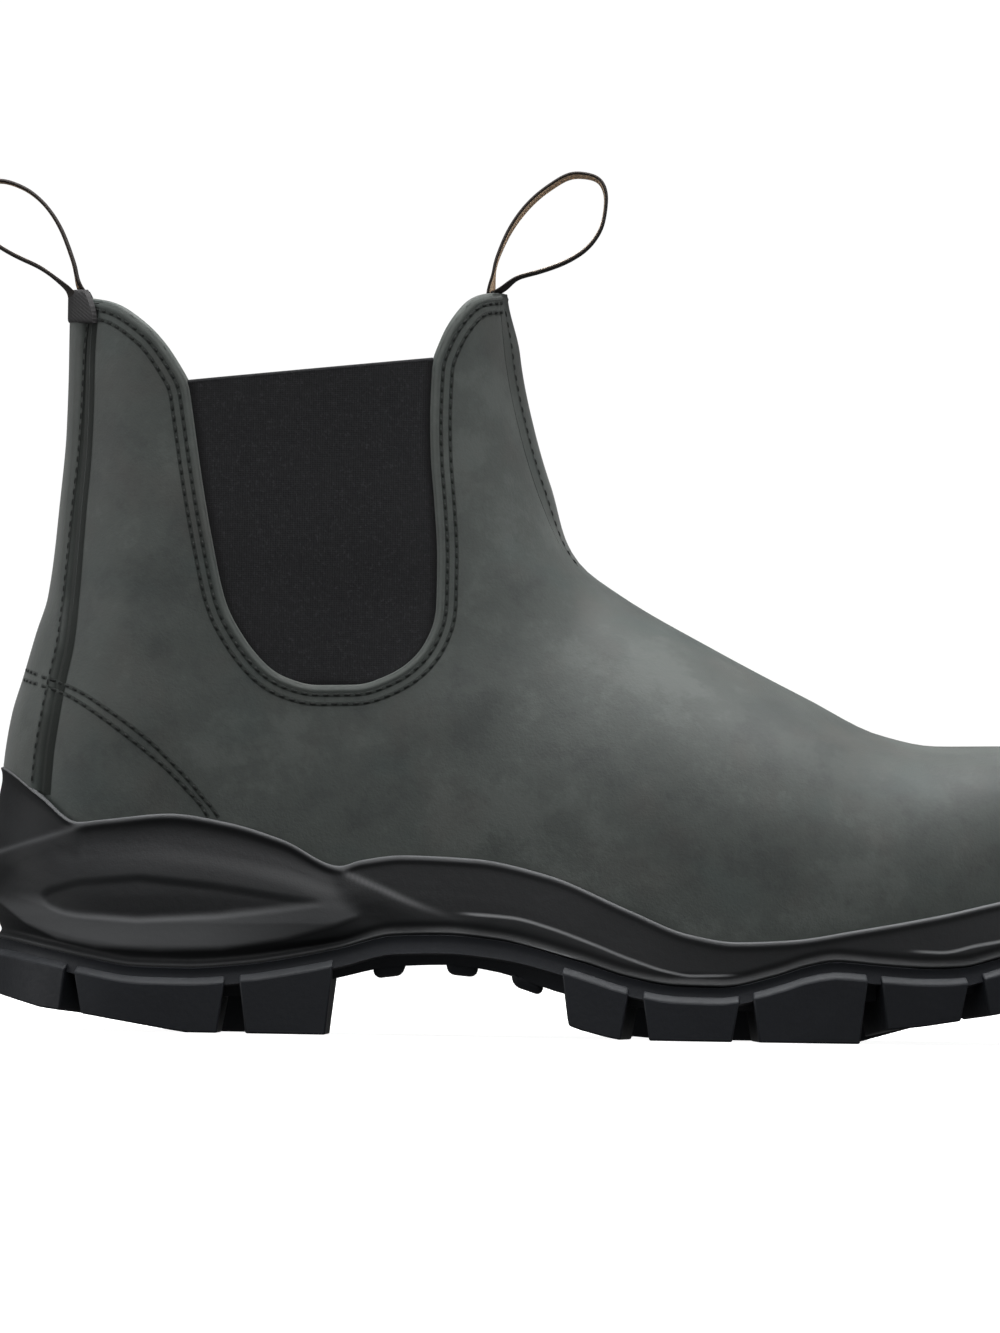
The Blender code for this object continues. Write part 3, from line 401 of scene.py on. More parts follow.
def line_through(points, count):
    """Points spaced evenly along a smooth open line through the given ones."""
    points = np.asarray(points, float)
    reach = reach_of(points)
    fine = np.linspace(0, reach[-1], SAMPLES * count)
    smooth = np.stack([track(reach, points[:, k])(fine) for k in range(points.shape[1])], 1)
    return resample(smooth, np.linspace(0, 1, count))


def ease(q, low, high):
    """0 before low, 1 after high, smooth between."""
    t = np.clip((q - low) / (high - low), 0, 1)
    return t * t * (3 - 2 * t)


def closing(q):
    """Rounded end of a section: 0 at its edge, 1 from the depth inwards."""
    q = np.clip(q, 0, 1)
    return (1 - (1 - q) ** CLOSING) ** (1 / CLOSING)


# The last


TOP = line_through([(LAST_LENGTH * s, COLLAR_HEIGHT * h) for s, h in TOP_LINE], FINE)
TOP_OF = (TOP[::-1, 0] + np.arange(FINE) * APART, TOP[::-1, 1])
back_at = table_track(BACK_LINE)
seat_at = table_track(SEAT_LINE)
plan_at = table_track(PLAN)
swing_at = table_track(PLAN, 2)
shaft_at = table_track(SHAFT_WIDTH)
flare_at = table_track(FLARE)
rim_at = table_track(RIM_LINE)
band_at = table_track(BAND_LINE)
groove_at = table_track(GROOVE_LINE)


def back_x(z):
    return LAST_LENGTH * back_at(z / COLLAR_HEIGHT)


def seat_z(x):
    return HEEL_SEAT * seat_at(x / LAST_LENGTH)


def rim_z(x):
    return RIM_HEIGHT * rim_at(x / LAST_LENGTH)


def band_z(x):
    return TREAD_BAND * band_at(x / LAST_LENGTH)


def groove_z(x):
    return TREAD_BAND * groove_at(x / LAST_LENGTH)


def ledge_z(x):
    return band_z(x) - LEDGE_DROP


def tread_z(x):
    return TREAD_BAND * np.interp(x / LAST_LENGTH, column(TREAD_LINE, 0), column(TREAD_LINE, 1))


def top_z(x):
    """Height of the instep line over x. Behind the collar it goes on up at the shaft's slope."""
    beyond = np.maximum(TOP_OF[0][0] - x, 0)
    return np.interp(x, *TOP_OF) + SHAFT_SLOPE * beyond


def front_x(z):
    return np.interp(z, TOP[:, 1] + np.arange(FINE) * APART, TOP[:, 0])


def middle_y(x, z):
    """Swing of the foot's middle line, which dies out up the shaft."""
    low = 1 - ease(z / COLLAR_HEIGHT, *SWING_FADE)
    return LAST_BALL_WIDTH * swing_at(np.clip(x / LAST_LENGTH, 0, 1)) * low


def creases(x, z):
    """Soft troughs and ridges of worn-in leather: each is a bell across its run that fades out along
    it, exp(-(across/width)^2 - (along/length)^2) times its depth."""
    out = np.zeros(np.broadcast(x, z).shape)
    for station, height, slant, length, width, depth in CREASES:
        angle = math.radians(slant)
        dx, dz = x / MM - station, z / MM - height
        along = (dx * math.cos(angle) + dz * math.sin(angle)) / (length / 2)
        across = (dz * math.cos(angle) - dx * math.sin(angle)) / (width / 2)
        out += depth * MM * np.exp(-(across ** 2) - along ** 2)
    return out * ease(z, 50 * MM, 64 * MM)


def half_width(x, z):
    """Half width of the last at a place in its side view: the plan's width, closed over the instep,
    down the front of the shaft, round the heel and at the toe."""
    station = np.clip(x / LAST_LENGTH, 0, 1)
    height = z / COLLAR_HEIGHT
    foot = LAST_BALL_WIDTH / 2 * plan_at(station) * closing((1 - station) / TOE_DEPTH)
    shaft = COLLAR_WIDTH / 2 * shaft_at(height)
    up = ease(height, *SHAFT_START) * (1 - ease(station, *FOREFOOT_START))
    width = foot * (1 - up) + shaft * up + creases(x, z)
    seat = seat_z(x)
    rise = np.clip((z - seat) / np.maximum(top_z(x) - seat, TINY), 0, 1)
    over = np.maximum((1 - rise ** CLOSING), 0) ** (1 / CLOSING)
    front = closing((front_x(z) - x) / FRONT_DEPTH)
    front = 1 - (1 - front) * ease(height, *FRONT_START)
    soft = (np.maximum(over, TINY) ** -SOFTNESS + np.maximum(front, TINY) ** -SOFTNESS) / 2
    return width * np.minimum(soft ** (-1 / SOFTNESS), 1) * closing((x - back_x(z)) / BACK_DEPTH)


# Rings round the boot


def spread(count):
    """Shares from 0 to 1, closer together at both ends."""
    even = np.linspace(0, 1, count)
    return even - END_CROWDING * np.sin(2 * np.pi * even)


def fine_steps():
    return (1 - np.cos(np.linspace(0, np.pi, FINE))) / 2


def ring_of(path, shares):
    """Ring round the last over a path in side view, as columns at the given shares of each side."""
    x, z = path[:, 0], path[:, 1]
    half = half_width(x, z)
    half[0] = half[-1] = 0
    middle = middle_y(x, z)
    outer = resample(np.stack([x, middle - half, z], 1), shares)
    inner = resample(np.stack([x, middle + half, z], 1), shares)
    return np.vstack([outer, inner[-2:0:-1]])


def level_path(height_of):
    """Side view path across the last where the height follows a function of x."""
    rear, tip = 0.0, LAST_LENGTH
    for _ in range(SETTLING):
        rear = back_x(height_of(rear))
        tip = front_x(height_of(tip))
    x = rear + (tip - rear) * fine_steps()
    return np.stack([x, height_of(x)], 1)


def grow(ring, amount):
    """A ring moved outwards in plan."""
    ahead = np.roll(ring, -1, 0) - np.roll(ring, 1, 0)
    normal = unit(np.stack([ahead[:, 1], -ahead[:, 0]], 1))
    moved = ring.copy()
    moved[:, :2] += normal * np.reshape(amount, (-1, 1))
    return moved


def set_height(ring, height_of, by=0.0):
    moved = ring.copy()
    moved[:, 2] = height_of(moved[:, 0]) + by
    return moved


def upper_rings(rows, shares):
    """Rings that fan from the sole's edge to the collar: the back end climbs the heel while the
    front end runs back along the instep and up the shaft."""
    steps = np.linspace(0, 1, rows)
    grid = np.linspace(0, 1, len(RING_PATHS))
    rear_share = track(grid, column(RING_PATHS, 0))(steps)
    front_share = track(grid, column(RING_PATHS, 1))(steps)
    seat = level_path(seat_z)
    low = seat[0, 1]
    chord = np.interp(seat[:, 0], seat[[0, -1], 0], seat[[0, -1], 1])
    sag = seat[:, 1] - chord
    fronts = resample(np.vstack([seat[-1:], TOP[TOP[:, 1] > seat[-1, 1]]]), front_share)
    rings = []
    for share, front in zip(rear_share, fronts):
        z = low + (COLLAR_HEIGHT - low) * share
        rear = np.array([back_x(z), z])
        path = rear + (front - rear) * fine_steps()[:, None]
        path[:, 1] += sag * max(0.0, 1 - share / SAG_FADE) ** SAG_POWER
        rings.append(ring_of(path, shares))
    return np.array(rings)


def grid_normals(grid):
    """Outward directions on a stack of rings, from the ring's run and the way up."""
    along = np.roll(grid, -1, 1) - np.roll(grid, 1, 1)
    return unit(np.cross(along, np.gradient(grid, axis=0)))


def on_last(x, z, side, inset):
    """A place on the last's side face, moved inwards square to the face, and the face's direction.
    The direction is the gradient of (y - middle)^2 - half^2, which holds at the middle line too."""
    x, z = np.broadcast_arrays(np.asarray(x, float), np.asarray(z, float))
    half = half_width(x, z)
    slopes = []
    for a, b in ((SLOPE_STEP, 0), (0, SLOPE_STEP)):
        swing = middle_y(x + a, z + b) - middle_y(x - a, z - b)
        square = half_width(x + a, z + b) ** 2 - half_width(x - a, z - b) ** 2
        slopes.append(-(2 * side * half * swing + square) / (2 * SLOPE_STEP))
    normal = np.stack([slopes[0], 2 * side * half, slopes[1]], -1)
    normal /= np.maximum(np.linalg.norm(normal, axis=-1), 1e-12)[..., None]
    place = np.stack([x, middle_y(x, z) + side * half, z], -1)
    return place - np.asarray(inset)[..., None] * normal, normal


SEAT_RING = ring_of(level_path(seat_z), spread(111))


def sole_outline(ring, inset):
    """Outline of the sole round a ring of the seat, moved in by an inset."""
    return grow(ring, SOLE_FLARE * flare_at(ring[:, 0] / LAST_LENGTH) - inset)


def home():
    """Where the last's zero point lies in the frame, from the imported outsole's corner."""
    corner = np.array(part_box("outsole")[0])[:2]
    return np.append(corner - sole_outline(SEAT_RING, 0)[:, :2].min(0), 0.0)


HOME = home()


# Meshes


def placed(name, data):
    """An object with its data, in the scene."""
    made = bpy.data.objects.new(name, data)
    bpy.context.scene.collection.objects.link(made)
    return made


def to_mesh(name, points, faces, materials, face_slots=None, uv=None, angle=40, **marks):
    """A mesh object from arrays of points and faces, with smooth faces and its materials. Marks are
    shares at the points, such as how dark the leather is there, which the finishes read. Marks and
    coordinates along the piece that are given for one face of a plate are repeated on the other."""
    mesh = bpy.data.meshes.new(name)
    mesh.from_pydata(points.reshape(-1, 3) + HOME, [], faces)
    count = len(mesh.vertices)
    for material in materials:
        mesh.materials.append(material)
    if face_slots is not None:
        mesh.polygons.foreach_set("material_index", np.asarray(face_slots, np.int32))
    if uv is not None:
        corners = np.zeros(len(mesh.loops), np.int32)
        mesh.loops.foreach_get("vertex_index", corners)
        layer = mesh.uv_layers.new(name="run")
        layer.data.foreach_set("uv", np.resize(uv, (count, 2))[corners].ravel())
    for mark, shares in marks.items():
        values = mesh.attributes.new(mark, "FLOAT", "POINT")
        values.data.foreach_set("value", np.resize(shares, count).astype(np.float32))
    mesh.shade_smooth()
    mesh.set_sharp_from_angle(angle=math.radians(angle))
    return placed(name, mesh)


def grid_faces(rows, columns, wrap_rows=False, wrap_columns=False, start=0, flip=False):
    """Quads of a grid whose points are stored row by row."""
    i = np.arange(rows if wrap_rows else rows - 1)[:, None]
    j = np.arange(columns if wrap_columns else columns - 1)[None, :]
    k, m = (i + 1) % rows, (j + 1) % columns
    quads = np.stack([i * columns + j, i * columns + m, k * columns + m, k * columns + j], -1)
    quads = quads.reshape(-1, 4) + start
    return quads[:, ::-1] if flip else quads


def cap_faces(count, start, flip):
    """Quads straight across a ring, from the outer side's columns to the inner side's."""
    j = np.arange(1, count // 2 - 1)
    quads = np.stack([j, j + 1, count - j - 1, count - j], -1) + start
    ends = np.array([[0, 1, count - 1], [count // 2 - 1, count // 2, count // 2 + 1]]) + start
    faces = [*quads.tolist(), *ends.tolist()]
    return [face[::-1] for face in faces] if flip else faces


def stack_faces(rings):
    """Faces of a closed stack of rings: bands between them, and caps across the first and last."""
    rows, count = rings.shape[:2]
    faces = grid_faces(rows, count, wrap_columns=True).tolist()
    return faces + cap_faces(count, 0, True) + cap_faces(count, (rows - 1) * count, False)


def joined(parts):
    """Points and faces of several meshes as one."""
    points, faces, start = [], [], 0
    for grid, quads in parts:
        points.append(grid.reshape(-1, 3))
        faces += [[k + start for k in quad] for quad in quads]
        start += len(points[-1])
    return np.vstack(points), faces


def slab(front, back):
    """Points and faces of a closed plate between two grids."""
    rows, columns = front.shape[:2]
    size = rows * columns
    faces = [*grid_faces(rows, columns), *grid_faces(rows, columns, start=size, flip=True)]
    edge = [(0, j) for j in range(columns)]
    edge += [(i, columns - 1) for i in range(1, rows)]
    edge += [(rows - 1, j) for j in range(columns - 2, -1, -1)]
    edge += [(i, 0) for i in range(rows - 2, 0, -1)]
    edge = np.array([i * columns + j for i, j in edge])
    ahead = np.roll(edge, -1)
    faces += np.stack([edge, edge + size, ahead + size, ahead], -1).tolist()
    return np.vstack([front.reshape(-1, 3), back.reshape(-1, 3)]), [list(f) for f in faces]


def face_outwards(made):
    """Turns every face of a closed mesh outwards."""
    bm = bmesh.new()
    bm.from_mesh(made.data)
    bmesh.ops.recalc_face_normals(bm, faces=bm.faces)
    bm.to_mesh(made.data)
    bm.free()


def apply_modifiers(made):
    """Replaces an object's mesh by what its modifiers make of it."""
    depsgraph = bpy.context.evaluated_depsgraph_get()
    mesh = bpy.data.meshes.new_from_object(made.evaluated_get(depsgraph))
    made.modifiers.clear()
    made.data = mesh


def round_edges(made, width, segments):
    modifier = made.modifiers.new("rounded", "BEVEL")
    modifier.width = width
    modifier.segments = segments
    modifier.limit_method = "ANGLE"
    modifier.angle_limit = math.radians(35)
    modifier.harden_normals = False
    apply_modifiers(made)


def tube_faces(rows, sides):
    """Faces of a tube with a flat cap at both ends."""
    last = (rows - 1) * sides
    caps = [list(range(sides)), list(range(last, last + sides))]
    return grid_faces(rows, sides, wrap_columns=True).tolist() + caps


def tube_along(path, across, up, radius_across, radius_up, sides=14):
    """Capped tube round a path: the path plus an ellipse in the plane of two given directions."""
    turn = np.linspace(0, 2 * np.pi, sides, endpoint=False)
    ring = (
        path[:, None]
        + radius_across * np.cos(turn)[None, :, None] * across[:, None]
        + radius_up * np.sin(turn)[None, :, None] * up[:, None]
    )
    return ring, tube_faces(len(path), sides)


def dress(made, slot, *nodes):
    """Puts a piece on the boot's body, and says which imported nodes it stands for."""
    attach(made, "root")
    if nodes:
        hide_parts(*nodes)


# Shaders


class Value:
    """A shader socket that is used in Python expressions, which add Math nodes."""

    def __init__(self, finish, socket):
        self.finish = finish
        self.socket = socket

    def math(self, operation, first, second):
        return self.finish.node("ShaderNodeMath", {"operation": operation}, {0: first, 1: second})

    def __add__(self, other):
        return self.math("ADD", self, other)

    def __rsub__(self, other):
        return self.math("SUBTRACT", other, self)

    def __mul__(self, other):
        return self.math("MULTIPLY", self, other)

    __radd__ = __add__
    __rmul__ = __mul__


class Finish:
    """Node tree of one material, with a Principled shader."""

    def __init__(self, name):
        self.material = bpy.data.materials.new(name)
        self.material.use_nodes = True
        self.nodes = self.material.node_tree.nodes
        self.shader = self.nodes["Principled BSDF"]

    def node(self, kind, settings, sockets, output=0):
        """Adds a node, sets it up, fills its sockets with numbers or links, and gives an output."""
        made = self.nodes.new(kind)
        for key, setting in settings.items():
            setattr(made, key, setting)
        for key, content in sockets.items():
            self.fill(made.inputs[key], content)
        return Value(self, made.outputs[output])

    def fill(self, socket, content):
        if isinstance(content, Value):
            self.material.node_tree.links.new(content.socket, socket)
        else:
            socket.default_value = content

    def place(self):
        """Object coordinates, in metres."""
        return self.node("ShaderNodeTexCoord", {}, {}, "Object")

    def run(self):
        """Coordinates along and across the piece, in metres."""
        return self.node("ShaderNodeUVMap", {"uv_map": "run"}, {})

    def mark(self, name):
        """A share stored at the mesh's points, which is 0 where a mesh has none."""
        return self.node("ShaderNodeAttribute", {"attribute_name": name}, {}, "Fac")

    def stretch(self, vector, scale):
        return self.node(
            "ShaderNodeVectorMath", {"operation": "MULTIPLY"}, {0: vector, 1: scale}
        )

    def noise(self, vector, scale, detail=3.0, rough=0.55):
        return self.node(
            "ShaderNodeTexNoise", {},
            {"Vector": vector, "Scale": scale, "Detail": detail, "Roughness": rough},
        )

    def cells(self, vector, scale):
        return self.node(
            "ShaderNodeTexVoronoi", {"feature": "F1"}, {"Vector": vector, "Scale": scale}
        )

    def wave(self, vector, scale, direction):
        return self.node(
            "ShaderNodeTexWave", {"bands_direction": direction, "wave_profile": "SIN"},
            {"Vector": vector, "Scale": scale}, "Fac",
        )

    def between(self, value, low, high):
        """0 below low and 1 above high, smooth between."""
        return self.node(
            "ShaderNodeMapRange", {"interpolation_type": "SMOOTHSTEP"},
            {"Value": value, "From Min": low, "From Max": high},
        )

    def blend(self, share, low, high):
        low, high = (c if isinstance(c, Value) else (*c, 1.0) for c in (low, high))
        return self.node(
            "ShaderNodeMix", {"data_type": "RGBA"}, {0: share, 6: low, 7: high}, 2
        )

    def bump(self, height, distance, under=None):
        sockets = {"Height": height, "Distance": distance}
        if under is not None:
            sockets["Normal"] = under
        return self.node("ShaderNodeBump", {}, sockets)

    def finish(self, **sockets):
        for key, content in sockets.items():
            name = key.replace("_", " ").title().replace("Ior", "IOR")
            if name == "Base Color" and not isinstance(content, Value):
                content = (*content, 1.0)
            self.fill(self.shader.inputs[name], content)
        return self.material


def once(make):
    """Keeps a material, so that pieces of the same finish share it."""
    kept = {}

    def get():
        if "material" not in kept:
            kept["material"] = make()
        return kept["material"]

    return get


@once
def leather_finish():
    """Waxed nubuck: broad clouds of rubbed and waxed leather, a fine nap and a dull wax gloss. The
    light mark makes the folded edge lighter and paints highlights on the strips; the dark mark paints
    shade into the seam lines and the back strip's groove, which is in part edge dye, and takes away
    some of their gloss."""
    tone = bpy.context.scene.boot_colours
    made = Finish("waxed nubuck")
    place = made.place()
    cloud = made.noise(made.stretch(place, (0.8, 1.0, 1.2)), 30.0, 4.0, 0.55)
    patch = made.noise(place, 85.0, 4.0, 0.6)
    nap = made.noise(place, 1500.0, 3.0, 0.6)
    grain = made.noise(place, 420.0, 4.0, 0.65)
    mix = cloud * 0.48 + patch * 0.38 + grain * 0.14
    colour = made.blend(made.between(mix, 0.39, 0.50), tone.leather_dark, tone.leather)
    colour = made.blend(made.between(mix, 0.50, 0.61), colour, tone.leather_light)
    warm = made.between(made.noise(place, 46.0, 3.0), 0.50, 0.70)
    colour = made.blend(warm * 0.34, colour, LEATHER_WARM)
    cold = made.between(made.noise(made.stretch(place, (1.0, 1.0, 1.5)), 37.0, 3.0), 0.54, 0.72)
    colour = made.blend(cold * 0.32, colour, LEATHER_COLD)
    fleck = made.between(nap, 0.42, 0.70)
    colour = made.blend(fleck * 0.12, colour, tone.leather_light)
    # Lighter folded edge, and painted highlights on the strips.
    colour = made.blend(made.mark("light"), colour, tone.edge)
    # Painted shade in the seam lines and the back strip's groove, in part edge dye.
    colour = made.blend(made.mark("dark"), colour, tone.groove)
    relief = made.bump(grain, 0.00007)
    relief = made.bump(nap, 0.00006, relief)
    # The dark mark also takes gloss away, to deepen its painted shade.
    return made.finish(
        base_color=colour, roughness=0.54 + 0.20 * cloud, normal=relief,
        specular_ior_level=0.30 - 0.26 * made.mark("dark"), sheen_weight=0.10, sheen_roughness=0.50,
    )


@once
def lining_finish():
    """Textile lining: a fine weave of two crossing waves."""
    tone = bpy.context.scene.boot_colours
    made = Finish("textile lining")
    place = made.place()
    weave = made.wave(place, 260.0, "Z") * made.wave(place, 260.0, "X")
    cloud = made.noise(place, 60.0)
    colour = made.blend(weave * 0.5 + cloud * 0.3, tone.footbed, tone.lining)
    return made.finish(base_color=colour, roughness=0.9, normal=made.bump(weave, 0.00015))


@once
def elastic_finish():
    """Knitted elastic: fine upright ribs broken into loops, with a dry speckle, and painted shadow
    along its edges where the leather stands over it.
    """
    tone = bpy.context.scene.boot_colours
    made = Finish("knitted elastic")
    run = made.run()
    place = made.place()
    ribs = made.wave(run, 520.0, "X")
    loops = made.wave(run, 610.0, "Y")
    speck = made.noise(place, 1150.0, 2.0, 0.75)
    spot = made.noise(place, 620.0, 2.0, 0.6)
    cloud = made.noise(place, 40.0, 3.0)
    knit = ribs * 0.15 + loops * 0.10 + speck * 0.5 + spot * 0.5
    colour = made.blend(made.between(knit, 0.36, 0.80), KNIT_BASE, tone.elastic)
    colour = made.blend(made.between(speck, 0.53, 0.74) * 0.5, colour, KNIT_FLECK)
    colour = made.blend(cloud * 0.3, colour, KNIT_CLOUD)
    # Painted shadow along the edges, under the leather.
    colour = made.blend(made.mark("dark"), colour, KNIT_PAINTED_SHADOW)
    return made.finish(
        base_color=colour, roughness=0.92, normal=made.bump(knit, 0.00018),
        specular_ior_level=0.15, sheen_weight=0.05, sheen_roughness=0.5,
    )


@once
def rubber_finish():
    """Moulded midsole: satin charcoal with a faint orange peel and dull scuffs. The light mark paints
    highlights on the beads, the rim, the ribs and the pod's lip, and painted light on the leaf's
    band."""
    tone = bpy.context.scene.boot_colours
    made = Finish("moulded charcoal")
    place = made.place()
    cloud = made.noise(place, 38.0, 4.0)
    scuff = made.noise(made.stretch(place, (0.5, 1.0, 1.6)), 140.0, 5.0, 0.65)
    peel = made.noise(place, 520.0, 2.0, 0.5)
    pores = made.noise(place, 2200.0, 2.0, 0.5)
    colour = made.blend(made.between(cloud, 0.40, 0.66), tone.rubber, RUBBER_CLOUD)
    # Painted highlights and painted light from below, where the light mark says.
    colour = made.blend(made.mark("light"), colour, tone.rubber_painted_light)
    colour = made.blend(made.between(scuff, 0.56, 0.76) * 0.10, colour, RUBBER_SCUFF)
    relief = made.bump(pores, 0.00003, made.bump(peel, 0.00006))
    return made.finish(
        base_color=colour, roughness=0.50 + 0.12 * cloud + 0.06 * scuff, normal=relief,
        specular_ior_level=0.16,
    )


def lug_finish(name, low, high):
    """Lug rubber with a dull moulded skin."""
    made = Finish(name)
    place = made.place()
    cloud = made.noise(place, 45.0, 4.0)
    skin = made.noise(place, 700.0, 3.0, 0.6)
    colour = made.blend(made.between(cloud, 0.40, 0.66), low, high)
    return made.finish(
        base_color=colour, roughness=0.52 + 0.18 * skin, normal=made.bump(skin, 0.00007),
        specular_ior_level=0.28,
    )


@once
def tread_finish():
    tone = bpy.context.scene.boot_colours
    return lug_finish("lug rubber", tone.tread, TREAD_CLOUD)


@once
def ledge_highlight_finish():
    """Tops of the lugs in a lighter colour: a painted highlight where their sloping ledges catch the
    light.
    """
    tone = bpy.context.scene.boot_colours
    return lug_finish("lug rubber, painted highlight", tone.ledge, LEDGE_CLOUD)


@once
def thread_finish():
    """Twisted sewing thread."""
    tone = bpy.context.scene.boot_colours
    made = Finish("dark thread")
    twist = made.noise(made.place(), 3000.0, 2.0)
    colour = made.blend(twist, tone.thread, THREAD_LIGHT)
    return made.finish(
        base_color=colour, roughness=0.7, normal=made.bump(twist, 0.00006), specular_ior_level=0.2,
    )


def webbing_finish(name, light, dark):
    """Woven webbing: a twill of two slanted waves across its run."""
    made = Finish(name)
    run = made.run()
    across = made.wave(run, 700.0, "DIAGONAL")
    along = made.wave(run, 380.0, "X")
    fuzz = made.noise(made.place(), 1600.0, 3.0)
    weave = across * 0.6 + along * 0.4
    colour = made.blend(0.3 + 0.4 * made.between(weave * 0.7 + fuzz * 0.5, 0.3, 0.9), dark, light)
    return made.finish(
        base_color=colour, roughness=0.85, normal=made.bump(weave, 0.0001),
        specular_ior_level=0.2
    )


@once
def webbing_out_finish():
    tone = bpy.context.scene.boot_colours
    return webbing_finish("dark webbing", tone.webbing, WEBBING_SHADE)


@once
def webbing_in_finish():
    tone = bpy.context.scene.boot_colours
    return webbing_finish("tan webbing", tone.webbing_back, WEBBING_BACK_SHADE)


@once
def webbing_foot_finish():
    return webbing_finish("worn webbing", WEBBING_WORN, WEBBING_WORN_SHADE)


@once
def footbed_finish():
    """Footbed cover: brushed knit."""
    tone = bpy.context.scene.boot_colours
    made = Finish("footbed cover")
    place = made.place()
    knit = made.cells(place, 900.0)
    cloud = made.noise(place, 50.0)
    colour = made.blend(cloud, tone.footbed, FOOTBED_CLOUD)
    return made.finish(base_color=colour, roughness=0.95, normal=made.bump(knit, 0.0002))


@once
def floor_finish():
    """Pale floor with a faint speckle, which passes into white paper away from the boot."""
    made = Finish("pale floor")
    place = made.place()
    speck = made.noise(place, 40.0)
    colour = made.blend(speck, FLOOR_DARK, FLOOR_LIGHT)
    reach = made.node("ShaderNodeVectorMath", {"operation": "LENGTH"}, {0: place}, "Value")
    white = made.blend(made.between(reach, 0.1, 0.7), PAPER_NEAR, PAPER_FAR)
    return made.finish(
        base_color=colour, roughness=0.95, specular_ior_level=0.0,
        emission_color=white, emission_strength=1.0,
    )


@once
def backdrop_finish():
    """White paper behind the boot, lit evenly."""
    made = Finish("white backdrop")
    made.finish(base_color=(0.0, 0.0, 0.0), roughness=1.0, specular_ior_level=0.0)
    return made.finish(emission_color=(1.0, 1.0, 1.0, 1.0), emission_strength=1.02)


# Side view lines of the cut


def side_view(table, count):
    return line_through([(LAST_LENGTH * s, COLLAR_HEIGHT * h) for s, h in table], count)


def opening_line(count=60):
    """The cut's edge in side view: back tab, down and round the elastic, front tab."""
    back_tab = side_view(BACK_TAB, count // 3)
    front_tab = side_view(FRONT_TAB, count // 3)
    rear = side_view(GORE_REAR, count)
    front = side_view(GORE_FRONT, count)
    return np.vstack([back_tab, rear, front[::-1], front_tab[::-1]])


def smooth_line(line, reach, count):
    """A side view line with its corners rounded over a reach, by averaging along its length."""
    even = resample(line, np.linspace(0, 1, count))
    length = np.linalg.norm(np.diff(even, axis=0), axis=1).sum()
    half = max(1, int(reach / length * count))
    padded = np.vstack([np.repeat(even[:1], half, 0), even, np.repeat(even[-1:], half, 0)])
    window = np.hanning(2 * half + 3)[1:-1]
    window /= window.sum()
    smooth = np.stack([np.convolve(padded[:, k], window, "valid") for k in (0, 1)], 1)
    smooth[0], smooth[-1] = even[0], even[-1]
    return smooth


def offset_line(line, distance):
    """A side view line moved to its left by a distance."""
    ahead = np.gradient(line, axis=0)
    left = np.stack([-ahead[:, 1], ahead[:, 0]], 1) / np.linalg.norm(ahead, axis=1)[:, None]
    return line + distance * left


def rim_bow(z, y, front):
    """How far the shaft's front or back line falls away at a distance from the middle."""
    depth = BACK_DEPTH * np.linspace(0, 1, FINE) ** 2
    x = front_x(z) - depth if front else back_x(z) + depth
    half = half_width(x, np.full(FINE, z))
    half[0] = 0
    return np.interp(np.abs(y), half, depth)


def across_the_line(count):
    """Shares from -1 to 1 across the front or back line, closer together at both ends, and the side
    of the foot that each lies on."""
    across = np.sin(np.linspace(-0.5 * np.pi, 0.5 * np.pi, count))
    return across, np.where(across < 0, -1.0, 1.0)


def round_the_end(z, depth, across, front):
    """Stations across the back or front line at a height: from the line inwards by
    depth * |across|^closing, which spreads them evenly in width, across running from -1 to 1."""
    inwards = depth * np.abs(across) ** CLOSING
    return front_x(z) - inwards if front else back_x(z) + inwards


# Upper


UPPER_ROWS = 96
# The folded edge: height and width of its low roll, the round of its corners, and the stations
# where it starts to follow the back and the front line.
ROLL_RISE = 0.24 * MM
ROLL_WIDTH = 1.9 * MM
RIM_ROUND = 5 * MM
BACK_REACH = (17 * MM, 24 * MM)
FRONT_REACH = (112 * MM, 121 * MM)
# How much lighter the fold and its roll are coloured.
FOLD_LIGHT = 0.25
ROLL_LIGHT = 0.15


def rounded_edge(wall, edge):
    """Profile of a folded edge: from the lining round the edge to the face, which it leaves in a
    low roll before the first row of stitches. The third column is how much lighter it is coloured."""
    turn = np.linspace(-0.5 * np.pi, 0.5 * np.pi, 9)
    middle = -wall / 2
    out, over = 0.35 * MM, 0.05 * MM
    nose = [
        (edge * (1 - np.cos(t)) - out, middle + (edge + over) * np.sin(t), FOLD_LIGHT * (t > 0.3))
        for t in turn
    ]
    roll = [
        (ROLL_WIDTH * q, ROLL_RISE * math.cos(0.5 * np.pi * q ** 2), ROLL_LIGHT * (1 - q))
        for q in (0.55, 0.75, 0.9, 1)
    ]
    sunk = [(ROLL_WIDTH, -0.6 * MM, 0), (ROLL_WIDTH, -wall + 0.3 * MM, 0)]
    return np.array([*nose, *roll, *sunk])


def rim_line(count):
    """The opening's edge in side view from the back line to the front line, with soft corners."""
    line = opening_line()
    share = np.linspace(0, 1, 24)[:, None]
    rear, tip = line[0], line[-1]
    behind = round_the_end(rear[1], rear[0] - back_x(rear[1]), share, False)
    ahead = round_the_end(tip[1], front_x(tip[1]) - tip[0], share, True)
    return smooth_line(
        np.vstack([
            np.hstack([behind, np.full_like(behind, rear[1])]), line[1:-1],
            np.hstack([ahead, np.full_like(ahead, tip[1])])[::-1],
        ]), RIM_ROUND, count,
    )


